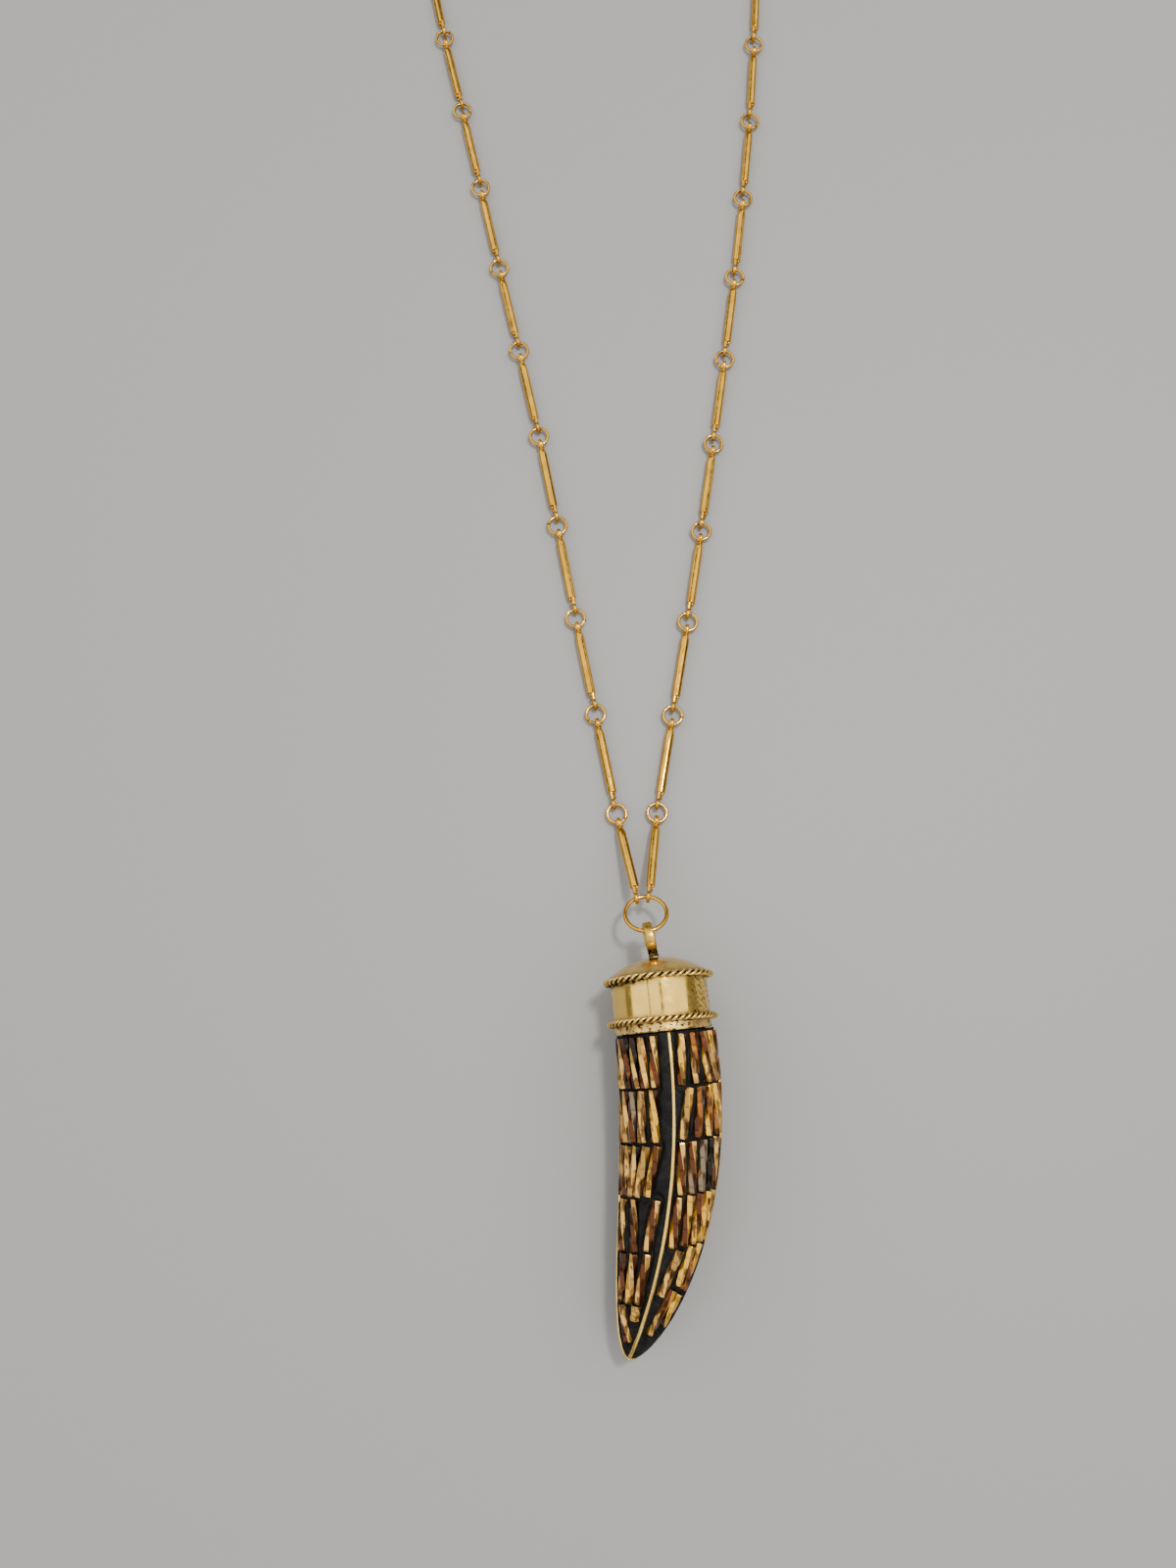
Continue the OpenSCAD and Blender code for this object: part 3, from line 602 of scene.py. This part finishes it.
front_beads = bead_mesh("front_bugle_beads", front, ["front_beads"])
back_beads = bead_mesh("back_bugle_beads", back, ["back_beads"])
for piece in (front_beads, back_beads):
    piece.data.materials.append(bead_glass)

# %% [markdown]
# ## Resin
# Black filler holds the beads. It stands nearly as high as the wires where no bead lies, and sinks
# in the narrow gaps between beads, where it was wiped out. So the depth of each point follows its
# distance to the nearest bead, and a little noise gives the matte, hand-smoothed skin.

# %% Resin
def distance_to_beads(points, entries):
    """Distance from each point to the nearest bead's middle line."""
    nearest = np.full(points.shape[:-1], 99.0)
    for (top, foot, *_), _side in entries:
        step = foot - top
        along = np.clip((points - top) @ step / (step @ step), 0, 1)
        gap = np.linalg.norm(points - top - along[..., None] * step, axis=-1)
        nearest = np.minimum(nearest, gap)
    return nearest


resin_rows, resin_columns = 300, 300
sunk, lift, deepest = 1.2, 0.98, 1.25
narrow_gap, wide_gap = 0.12, 0.85
groove_width = 0.9
t = np.sin(np.linspace(0, np.pi / 2, resin_rows + 1)[:-1])[:, None]
a = np.linspace(0, 2 * np.pi, resin_columns, endpoint=False)[None]
middle_line = skin(t, a, bead_r)
gap = distance_to_beads(middle_line, front + back) - bead_r
depth = sunk - lift * eased(gap, narrow_gap, wide_gap)
depth += 0.06 * waves(middle_line, 0.9, 3) + 0.04 * waves(middle_line, 0.35, 4)
side_angles = [-side_wire_angle(-1, t), side_wire_angle(1, t)]
for wire_angle, groove in zip([0, np.pi, *side_angles], [0.2, 0.2, 0.45, 0.45]):
    aside = (a - wire_angle + np.pi) % (2 * np.pi) - np.pi
    beside_wire = np.exp(-((aside * horn_radius(t) / groove_width) ** 2))
    depth = np.minimum(deepest, depth + groove * beside_wire)
resin = skin(t, a, depth)
plug_r, plug_z, mouth_z = 9.9, -8.9, collar_drop + mouth_gap
ring = np.stack([np.sin(a[0]), np.cos(a[0])], axis=-1)
plug = [np.column_stack([plug_r * ring, np.full(resin_columns, z)]) for z in (plug_z, mouth_z)]
rows = np.concatenate([np.stack(plug), resin])
row_count = len(rows)
points = np.concatenate([rows.reshape(-1, 3), [[0, 0, plug_z]], skin(1.0, 0.0, 0.9)[None]])
walls = grid_faces(row_count, resin_columns)[:, ::-1]
loop = np.arange(resin_columns)
after = (loop + 1) % resin_columns
top_pole = np.stack([loop, after, np.full_like(loop, len(points) - 2)], axis=-1)
last = (row_count - 1) * resin_columns
tip_pole = np.stack([last + after, last + loop, np.full_like(loop, len(points) - 1)], axis=-1)
resin_piece = add_piece("resin", laid(points), [walls, top_pole, tip_pole], ["horn_body"])

black_resin, tree, shader = new_finish("black_resin")
dust = ramp(tree, noise(tree, 420, 7, 0.7), [(0.45, (0.004, 0.0038, 0.0036)), (0.78, (0.018, 0.017, 0.015))])
tree.links.new(dust, shader.inputs["Base Color"])
shader.inputs["Specular IOR Level"].default_value = 0.12
tree.links.new(to_range(tree, noise(tree, 800, 5), 0.3, 0.7, 0.45, 0.75), shader.inputs["Roughness"])
grain = bumps(tree, noise(tree, 1800, 6, 0.7), 0.00012, 0.8)
tree.links.new(bumps(tree, noise(tree, 500, 4), 0.0002, 0.5, grain), shader.inputs["Normal"])
resin_piece.data.materials.append(black_resin)

# %% [markdown]
# ## Inlaid wires
# Soft brass wire was pushed into the resin on edge and filed flush with the beads. One wire runs
# down the front and one down the back. A third goes down one side, round the tip and up the other.

# %% Wires
def wire_piece(name, path, off_path, nodes, wobble):
    """A round wire along a path, with a small sideways wander from a hand-laid curve."""
    along = unit(np.gradient(path, axis=0))
    sideways = unit(np.cross(along, off_path))
    path = path + wobble * waves(path * np.array([0, 0, 1.0]), 2.4, 11)[:, None] * sideways
    swell = wire_r * (0.92 + 0.04 * waves(path, 1.1, 5))
    points = tube_points(path, swell, 12, off_path)
    faces = [grid_faces(len(path), 12), end_faces(len(path), 12)]
    piece = add_piece(name, laid(points.reshape(-1, 3)), faces, nodes)
    piece.data.materials.append(wire_brass)
    return piece


share = np.sin(np.linspace(0, np.pi / 2, 161))
end_r = 3 * wire_r + 2 * fit
last_t = (1 - (2 * end_r / horn_d) ** (1 / tip_power)) ** (1 / taper_power)
for name, angle, nodes in (("front_inlay", 0.0, ["front_wire"]), ("back_inlay", np.pi, ["back_wire"])):
    path = skin(last_t * share, np.full(161, angle), wire_r)
    wire_piece(name, path, np.array([1.0, 0, 0]), nodes, 0.1)
left_line = skin(share, -side_wire_angle(-1, share), wire_r + 0.05)
right_line = skin(share, side_wire_angle(1, share), wire_r + 0.05)[-2::-1]
side_path = np.concatenate([left_line, right_line])
wire_piece("side_inlay", side_path, np.array([0, 1.0, 0]), ["side_wire"], 0.05)

# %% [markdown]
# ## Cap
# The cap is turned brass sheet: a straight band, a collar with its edge turned in, and a low dome
# soldered on top. A closed section is spun round the axis as a grid. A few hundredths of a
# millimetre of waviness keep its reflections from looking machine-made.

# %% Cap shell
bail_shift = 0.5
cap_wall, rim_pitch, collar_turn, dome_seat, dome_rise = 0.8, 9.8, 0.3, 1.3, 4.0
bore_r = cap_r - cap_wall
dome_base = -rim_pitch - dome_seat
dome_top = dome_base - dome_rise
dome_r = (cap_r**2 + dome_rise**2) / (2 * dome_rise)


def spun(section, columns, dents=0.0, seed=1):
    """Carry a half section (radius, z) round the axis, with a radial waviness."""
    angle = np.linspace(0, 2 * np.pi, columns, endpoint=False)
    radius, z = section[:, 0][:, None], section[:, 1][:, None]
    points = stack(radius * np.cos(angle), radius * np.sin(angle), z + 0 * angle)
    wave = dents * waves(points, 3.2, seed)
    return points * np.stack([1 + wave / cap_r, 1 + wave / cap_r, np.ones_like(wave)], axis=-1)


band_z = np.linspace(dome_base + 0.01, collar_drop - 2 * collar_turn, 64)
band_r = np.full(64, cap_r)
turned = np.linspace(0, np.pi / 2, 6)[1:]
edge = np.column_stack([
    cap_r - collar_turn * (1 - np.cos(turned)),
    collar_drop - 2 * collar_turn * (1 - np.sin(turned)),
])
inner = np.array([[bore_r, collar_drop - 0.1], [bore_r, dome_base]])
dome_angle = np.linspace(np.arcsin(cap_r / dome_r), 0.004, 40)
dome = np.column_stack([dome_r * np.sin(dome_angle), dome_top + dome_r - dome_r * np.cos(dome_angle)])
shell = np.concatenate([dome[::-1], np.column_stack([band_r, band_z]), edge, inner])
cap_points = spun(shell, 512, 0.03)
rows, columns = cap_points.shape[:2]
height = cap_points[..., 2]
lower_line = height + cap_points[..., 1] * np.sin(np.radians(2.2))
upper_line = height + rim_pitch + cap_points[..., 1] * np.sin(np.radians(3.2))
# Darkening along both rims, where they meet the band: painted shade in the corners.
shade_along_rims = np.exp(-((lower_line / 1.05) ** 2)) + np.exp(-((upper_line / 1.05) ** 2))
from_neck = np.hypot(cap_points[..., 0] + bail_shift, cap_points[..., 1])
# Darkening on the dome round the bail's neck: painted shade in the join.
shade_near_neck = np.exp(-((from_neck / 1.8) ** 2)) * (height < dome_base)
across = cap_points[..., 0]
on_band = (lower_line < 0) & (upper_line > 0) & (np.abs(np.hypot(across, cap_points[..., 1]) - cap_r) < 0.2)
seam = np.exp(-(((across + 3.3) / 0.16) ** 2)) * on_band
pitted = eased(across, 5.6, 7) * on_band * eased(waves(cap_points, 0.3, 31), -0.05, 0.25)
spots = (height > 0.3) * eased(waves(cap_points * np.array([1, 1, 1.6]), 0.8, 32), 0.08, 0.26)
# Darkening just below the upper rim, growing towards the left, the side away from the key light: a painted
# shadow of the rim.
shade_below_upper_rim = np.exp(-(((upper_line - 0.9) / 0.9) ** 2)) * eased(-across, 1, 7) * on_band
# The dark mask adds painted shade (along the rims, round the neck, below the upper rim) to real spots, pits
# and the seam.
film_and_shade = 0.9 * (shade_along_rims + shade_near_neck + spots) + 0.7 * (pitted + shade_below_upper_rim) + 0.6 * seam
grime_and_shade = np.clip(film_and_shade, 0, 1)
faces = [grid_faces(rows, columns)[:, ::-1], end_faces(rows, columns)[:, ::-1]]
cap_shell = add_piece("cap_shell", laid(cap_points.reshape(-1, 3)), faces, [], None, grime_and_shade)
cap_shell.data.materials.append(cap_brass)
cap_shell.data.materials.append(collar_brass)
cap_shell.data.materials.append(dome_brass)
face_z = np.repeat((height[:-1, 0] + height[1:, 0]) / 2, columns)
part = np.where(face_z > 0.1, 1, np.where(face_z < dome_base, 2, 0))
cap_shell.data.polygons.foreach_set("material_index", np.concatenate([part, [2, 1]]).astype(np.int32))

# %% [markdown]
# ## Bail
# A thick strap is bent into an eye and soldered upright on the dome, over a short neck. The solder
# ran out in small lumps. The neck, and the eye next to it, are darkened near black: painted shade in the
# join.

# %% Bail and solder
bail_d, bail_w, bail_t, neck_d, neck_len = 7.4, 2.3, 1.0, 2.4, 1.2
bail_lean = np.radians(6.5)


def on_bail(points):
    """Lean about y at the bail's foot, then move onto the dome."""
    x, y, z = points[..., 0], points[..., 1], points[..., 2]
    return stack(
        x * np.cos(bail_lean) + z * np.sin(bail_lean) - bail_shift,
        y,
        -x * np.sin(bail_lean) + z * np.cos(bail_lean) + dome_top,
    )


bail_out = neck_len + bail_d / 2
round_eye = np.linspace(0, 2 * np.pi, 96, endpoint=False)
round_strap = np.linspace(0, 2 * np.pi, 24, endpoint=False)
flat = (bail_w - bail_t) / 2
strap_y = bail_t / 2 * np.cos(round_strap)
strap_x = bail_t / 2 * np.sin(round_strap) + flat * np.tanh(3 * np.sin(round_strap)) / np.tanh(3)
eye_r = bail_d / 2 - bail_t / 2 + strap_y[None] * (1 + 0.04 * np.sin(3 * round_eye[:, None] + 1))
eye = stack(
    strap_x[None] + 0 * eye_r,
    eye_r * np.sin(round_eye)[:, None],
    -bail_out + eye_r * np.cos(round_eye)[:, None],
)
eye_points = on_bail(eye)
# Darkening of the eye next to the neck: painted shade.
eye_shade_at_neck = np.exp(-(((eye_points[..., 2] - dome_top + neck_len) / 1.1) ** 2))
neck_z = np.linspace(cap_wall / 2, -neck_len - 0.5, 24)
at_dome, at_eye = np.exp(-(((neck_z - 0.2) / 0.45) ** 2)), np.exp(-(((neck_z + neck_len) / 0.4) ** 2))
flare = 1 + 0.55 * at_dome + 0.12 * at_eye
neck_angle = np.linspace(0, 2 * np.pi, 32, endpoint=False)[None]
neck_radius = (neck_d / 2 * 0.94 * flare)[:, None] * (1 + 0.05 * np.sin(2 * neck_angle + neck_z[:, None]))
neck = on_bail(stack(neck_radius * np.cos(neck_angle), neck_radius * np.sin(neck_angle), neck_z[:, None]))
# The whole neck is darkened near black: painted shade between the eye and the dome.
neck_shade = np.full(neck.shape[:2], 1.0)
points = np.concatenate([eye_points.reshape(-1, 3), neck.reshape(-1, 3)])
start = eye_points.shape[0] * eye_points.shape[1]
faces = [
    grid_faces(96, 24, close_rows=True),
    grid_faces(24, 32, start=start)[:, ::-1],
    end_faces(24, 32, start=start)[:, ::-1],
]
grime_and_shade = np.concatenate([eye_shade_at_neck.ravel(), neck_shade.ravel()])
bail = add_piece("bail", laid(points), faces, [], None, grime_and_shade)
bail.data.materials.append(bail_brass)


def lump(place, sizes, seed):
    """A small round lump: a sphere grid, stretched and made uneven by waves."""
    polar = np.linspace(0.03, np.pi - 0.03, 14)[:, None]
    angle = np.linspace(0, 2 * np.pi, 20, endpoint=False)[None]
    ball = stack(np.sin(polar) * np.cos(angle), np.sin(polar) * np.sin(angle), np.cos(polar))
    ball = ball * (1 + 0.22 * waves(ball, 0.9, seed))[..., None]
    return np.array(place) + ball * np.array(sizes)


solder = [
    lump((-0.2, 1.5, dome_top + 0.25), (0.8, 0.75, 0.5), 21),
    lump((-1.0, 1.6, dome_top + 0.3), (0.45, 0.45, 0.35), 22),
    lump((0.7, 1.2, dome_top + 0.22), (0.5, 0.6, 0.42), 23),
    lump((-1.6, 0.2, dome_top + 0.1), (0.4, 0.7, 0.35), 24),
    lump((0.5, -0.9, dome_top + 0.1), (0.5, 0.5, 0.35), 25),
]
faces = []
for i in range(len(solder)):
    faces += [grid_faces(14, 20, start=i * 280), end_faces(14, 20, start=i * 280)]
solder_points = np.concatenate([part.reshape(-1, 3) for part in solder])
solder_piece = add_piece("solder", laid(solder_points), faces, [])
solder_piece.data.materials.append(solder_brass)
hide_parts("cap")
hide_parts("cap")

# %% [markdown]
# ## Twisted rims
# Each rim is two thin wires twisted together and bent into a ring round the band. Both were put
# on by hand, so their fronts lean a few degrees towards the dome. A strand is a tube along a
# helix that is itself bent round the cap. Two of them, half a turn apart, give the rope look.

# %% Rims
strand_share = 0.42


def rim_piece(name, z0, lobes, lean_back, nodes):
    """Two helical tubes round the cap: radius and height swing by half a strand's width."""
    points, grime_and_shade_parts, faces = [], [], []
    sections, sides = lobes * 11, 12
    turn_back = np.radians(lean_back)
    for strand in (0, np.pi):
        angle = np.linspace(0, 2 * np.pi, sections, endpoint=False)
        twist = lobes / 2 * angle + strand
        radius = rim_r + strand_d / 2 * np.cos(twist)
        path = stack(radius * np.cos(angle), radius * np.sin(angle), strand_d / 2 * np.sin(twist))
        along = unit(np.roll(path, -1, axis=0) - np.roll(path, 1, axis=0))
        away = unit(stack(np.cos(angle), np.sin(angle), 0 * angle))
        across = unit(np.cross(along, away))
        up = np.cross(across, along)
        turn = np.linspace(0, 2 * np.pi, sides, endpoint=False)
        ring = np.cos(turn)[None, :, None] * across[:, None] + np.sin(turn)[None, :, None] * up[:, None]
        tube = path[:, None] + strand_d * strand_share * ring
        core = stack(rim_r * np.cos(angle), rim_r * np.sin(angle), 0 * angle)
        depth = np.linalg.norm(tube - core[:, None], axis=-1) / strand_d
        x, y, z = tube[..., 0], tube[..., 1], tube[..., 2]
        y, z = y * np.cos(turn_back) + z * np.sin(turn_back), z * np.cos(turn_back) - y * np.sin(turn_back)
        points.append(stack(x, y, z + z0).reshape(-1, 3))
        # Near black in the gaps between the two strands, fading out on their crowns: painted shade.
        grime_and_shade_parts.append(np.clip(2.7 - 3.3 * depth, 0, 1).ravel())
        faces.append(grid_faces(sections, sides, close_rows=True, start=len(faces) * sections * sides))
    grime_and_shade = np.concatenate(grime_and_shade_parts)
    piece = add_piece(name, laid(np.concatenate(points)), faces, nodes, None, grime_and_shade)
    piece.data.materials.append(rim_brass)
    return piece


rim_piece("lower_twisted_rim", 0.0, 50, 2.2, ["lower_rim"])
rim_piece("upper_twisted_rim", -rim_pitch, 42, 3.2, ["upper_rim"])

# %% [markdown]
# ## Reading the links from the solid model
# Each link keeps its place from the solid model. A node holds many separate solids, so points
# that share an edge are given the same label until nothing changes. The long and short axes of
# each solid then say which way the link lies.

# %% Links
def loose_parts(node_object):
    """Points, in metres on the table, of each separate solid in a node."""
    mesh = node_object.data
    points = np.empty(len(mesh.vertices) * 3)
    mesh.vertices.foreach_get("co", points)
    matrix = np.array(node_object.matrix_world)
    points = points.reshape(-1, 3) @ matrix[:3, :3].T + matrix[:3, 3]
    pairs = np.empty(len(mesh.edges) * 2, np.int32)
    mesh.edges.foreach_get("vertices", pairs)
    places, same = np.unique(np.round(points, 6), axis=0, return_inverse=True)
    first, second = same.ravel()[pairs.reshape(-1, 2)].T
    labels = np.arange(len(places))
    changed = True
    while changed:
        lowest = np.minimum(labels[first], labels[second])
        spread = labels.copy()
        np.minimum.at(spread, first, lowest)
        np.minimum.at(spread, second, lowest)
        spread = spread[spread]
        changed = np.any(spread != labels)
        labels = spread
    return [places[labels == label] for label in np.unique(labels)]


def axes_of(part):
    """Middle, three axes from the longest to the shortest, and half the size along each."""
    axes = np.linalg.svd(part - part.mean(axis=0), full_matrices=False)[2]
    low, high = (part @ axes.T).min(axis=0), (part @ axes.T).max(axis=0)
    return (low + high) / 2 @ axes, axes, (high - low) / 2


links = {}
for name in ("bar_links", "jump_rings", "pendant_ring"):
    links[name] = [axes_of(part) for part in loose_parts(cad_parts[name])]
print({name: len(found) for name, found in links.items()})

# %% [markdown]
# ## Chain
# A bar is brass strip rolled into a rod, so a fine seam runs down it. At its far end the whole
# strip narrows into an upright eye. At its near end the rod is cut square, and only a tongue of
# the strip runs on, is bent into an eye and soldered to itself. The jump rings are bent from round
# wire and were closed by hand, so each shows a joint and no two lie quite alike.

# %% Chain
bar_len, bar_r, bar_taper, eye_r, eye_wire_r = 15.7, 1.175, 1.95, 1.175, 0.425
bar_half = bar_len / 2
eye_place = bar_half + bar_taper + eye_r


def ring_points(middle, first_axis, second_axis, radius, wire, strip, steps, sides):
    """A ring that lies along two axes, of wire with a half thickness and half widths round it."""
    turn = np.linspace(0, 2 * np.pi, steps, endpoint=False)[:, None, None]
    roll = np.linspace(0, 2 * np.pi, sides, endpoint=False)[None, :, None]
    away = np.cos(turn) * first_axis + np.sin(turn) * second_axis
    normal = np.cross(first_axis, second_axis)
    flat_side = np.tanh(2.2 * np.sin(roll)) / np.tanh(2.2) if np.max(strip) > wire else np.sin(roll)
    strip = np.broadcast_to(strip, steps)[:, None, None]
    return middle + away * (radius + wire * np.cos(roll)) + normal * strip * flat_side


def rod_points(profile, seam):
    """A rod along x from a list of (x, radius), with a seam down one side of its full part."""
    x, radius = np.array(profile).T[:, :, None]
    roll = np.linspace(0, 2 * np.pi, 36, endpoint=False)[None]
    in_seam = np.exp(-(((roll - seam) / 0.17) ** 2)) * (np.abs(x) < bar_half)
    radius = radius * (1 - 0.09 * in_seam)
    return stack(x, radius * np.cos(roll), radius * np.sin(roll)), in_seam


def link_grids(inner, seam):
    """One bar along x in mm: grids, their grime, and whether each closes up as a ring."""
    aside = 0.3
    end = [(-bar_half, 0.4), (-bar_half, 1.08), (-bar_half + 0.08, bar_r)]
    rod = [(x, bar_r) for x in np.linspace(-bar_half + 0.2, bar_half - 0.1, 12)]
    narrowed = [(bar_half + 0.5, 1.1), (bar_half + 1.0, 0.98), (bar_half + 1.5, 0.84), (bar_half + 1.9, 0.6)]
    body, in_seam = rod_points(end + rod + narrowed, seam)
    x_axis, z_axis = np.array([1.0, 0, 0]), np.array([0, 0, 1.0])
    turn = np.linspace(0, 2 * np.pi, 28, endpoint=False)
    far_width = 0.47 + 0.4 * ((1 - np.cos(turn)) / 2) ** 1.5
    far_eye = ring_points(eye_place * x_axis, x_axis, z_axis, eye_r, 0.4, far_width, 28, 12)
    shift = np.array([0, aside * inner, 0])
    near_eye = ring_points(shift - eye_place * x_axis, -x_axis, z_axis, eye_r, 0.4, 0.46, 28, 12)
    run = np.linspace(0, 2.5, 8)
    tongue = tube_points(stack(-bar_half + 0.5 - run, aside * inner, 0.45 - 0.08 * run), 0.5, 12, z_axis)
    curl = [
        lump((-bar_half - 0.35, -0.5 * inner, 0.35), (0.45, 0.42, 0.4), 41),
        lump((-bar_half - 1.5, -0.35 * inner, 0.2), (0.5, 0.35, 0.4), 42),
    ]
    return [body, far_eye, near_eye, tongue, *curl], [in_seam, 0.1, 0.2, 0.1, 0.45, 0.6], [0, 1, 1, 0, 0, 0]


def chain_piece(name, grids, grime_and_shade_parts, closed, nodes):
    """Join grids of points into one piece. Rings close up, and rods get end faces."""
    points, faces, start = [], [], 0
    for grid, ring in zip(grids, closed):
        rows, columns = grid.shape[:2]
        faces.append(grid_faces(rows, columns, close_rows=bool(ring), start=start))
        if not ring:
            faces.append(end_faces(rows, columns, start=start))
        points.append(grid.reshape(-1, 3))
        start += rows * columns
    grime_and_shade = np.concatenate([np.broadcast_to(g, grid.shape[:2]).ravel() for g, grid in zip(grime_and_shade_parts, grids)])
    piece = add_piece(name, np.concatenate(points), faces, nodes, None, grime_and_shade)
    piece.data.materials.append(chain_gold)
    return piece


rng = np.random.default_rng(12)
grids, grime_and_shade_parts, closed = [], [], []
for middle, axes, _ in links["bar_links"]:
    along = axes[0] * np.sign(axes[0][1])
    side = unit(np.cross([0, 0, 1.0], along))
    turned = np.stack([along, side, np.cross(along, side)]) * MM
    made = link_grids(np.sign(middle[0]), rng.choice([0.9, 1.2, 2.0, 2.3]))
    grids += [middle + grid @ turned for grid in made[0]]
    grime_and_shade_parts += made[1]
    closed += made[2]
chain_piece("bars", grids, grime_and_shade_parts, closed, ["bar_links"])

grids, grime_and_shade_parts = [], []
for middle, _, half in links["jump_rings"]:
    wire = half[2] * 0.99
    tip_over = rng.normal(scale=0.03, size=2)
    first = unit(np.array([1, 0, tip_over[0]]))
    second = unit(np.cross(np.cross(first, [tip_over[1], 1, 0]), first))
    grids.append(ring_points(middle, first, second, half[0] - half[2], wire, wire, 48, 12))
    joint = rng.uniform(0, 48)
    grime_and_shade_parts.append(0.1 + 0.9 * np.exp(-(((np.arange(48) - joint) / 0.7) ** 2))[:, None])
chain_piece("rings", grids, grime_and_shade_parts, [1] * len(grids), ["jump_rings"])
middle, axes, half = links["pendant_ring"][0]
grid = ring_points(middle, axes[0], axes[1], half[0] - half[2], half[2], half[2], 96, 16)
chain_piece("ring_at_the_bail", [grid], [0.1], [1], ["pendant_ring"])

# %% [markdown]
# ## Table and light
# A plain pale table, a small soft key light from the upper right, as in the photograph, and two
# wide soft boxes overhead with a dark slot between them. The slot is what draws a dark line down
# the polished band, and the boxes are what makes the rest of it bright.

# %% Table and light
table_mesh = bpy.data.meshes.new("table")
reach = 1.5
corners = [(-reach, -reach, 0), (reach, -reach, 0), (reach, reach, 0), (-reach, reach, 0)]
table_mesh.from_pydata(corners, [], [(0, 1, 2, 3)])
table = bpy.data.objects.new("table", table_mesh)
bpy.context.scene.collection.objects.link(table)
table_finish, tree, shader = new_finish("pale_table")
shader.inputs["Base Color"].default_value = (0.3, 0.296, 0.288, 1)
shader.inputs["Roughness"].default_value = 0.6
table_mesh.materials.append(table_finish)


def soft_light(name, place, aim, size, power, colour=(1, 1, 1)):
    """A rectangular area light at a place, turned to face a point. Its size is given along y first."""
    data = bpy.data.lights.new(name, "AREA")
    data.shape = "RECTANGLE"
    data.size, data.size_y = size
    data.energy = power
    data.color = colour
    lamp = bpy.data.objects.new(name, data)
    lamp.location = place
    lamp.rotation_euler = (Vector(aim) - Vector(place)).to_track_quat("-Z", "Y").to_euler()
    bpy.context.scene.collection.objects.link(lamp)


x, y = float(rim_middle[0]), float(rim_middle[1])
soft_light("key_light", (x + 0.22, y + 0.24, 1.0), (x, y, 0.01), (0.12, 0.12), 7, (1, 0.97, 0.92))
soft_light("left_box", (x - 0.69, y + 0.35, 0.86), (x, y + 0.35, 0.01), (2.4, 1.54), 16.5)
soft_light("right_box", (x + 0.58, y + 0.35, 0.94), (x, y + 0.35, 0.01), (2.4, 1.27), 13.5)
soft_light("foot_light", (x + 0.1, y - 0.9, 0.45), (x, y, 0.01), (0.6, 0.4), 1.5)
world = bpy.data.worlds.new("studio")
world.use_nodes = True
world.node_tree.nodes["Background"].inputs["Color"].default_value = (1, 0.98, 0.95, 1)
world.node_tree.nodes["Background"].inputs["Strength"].default_value = 0.25
bpy.context.scene.world = world
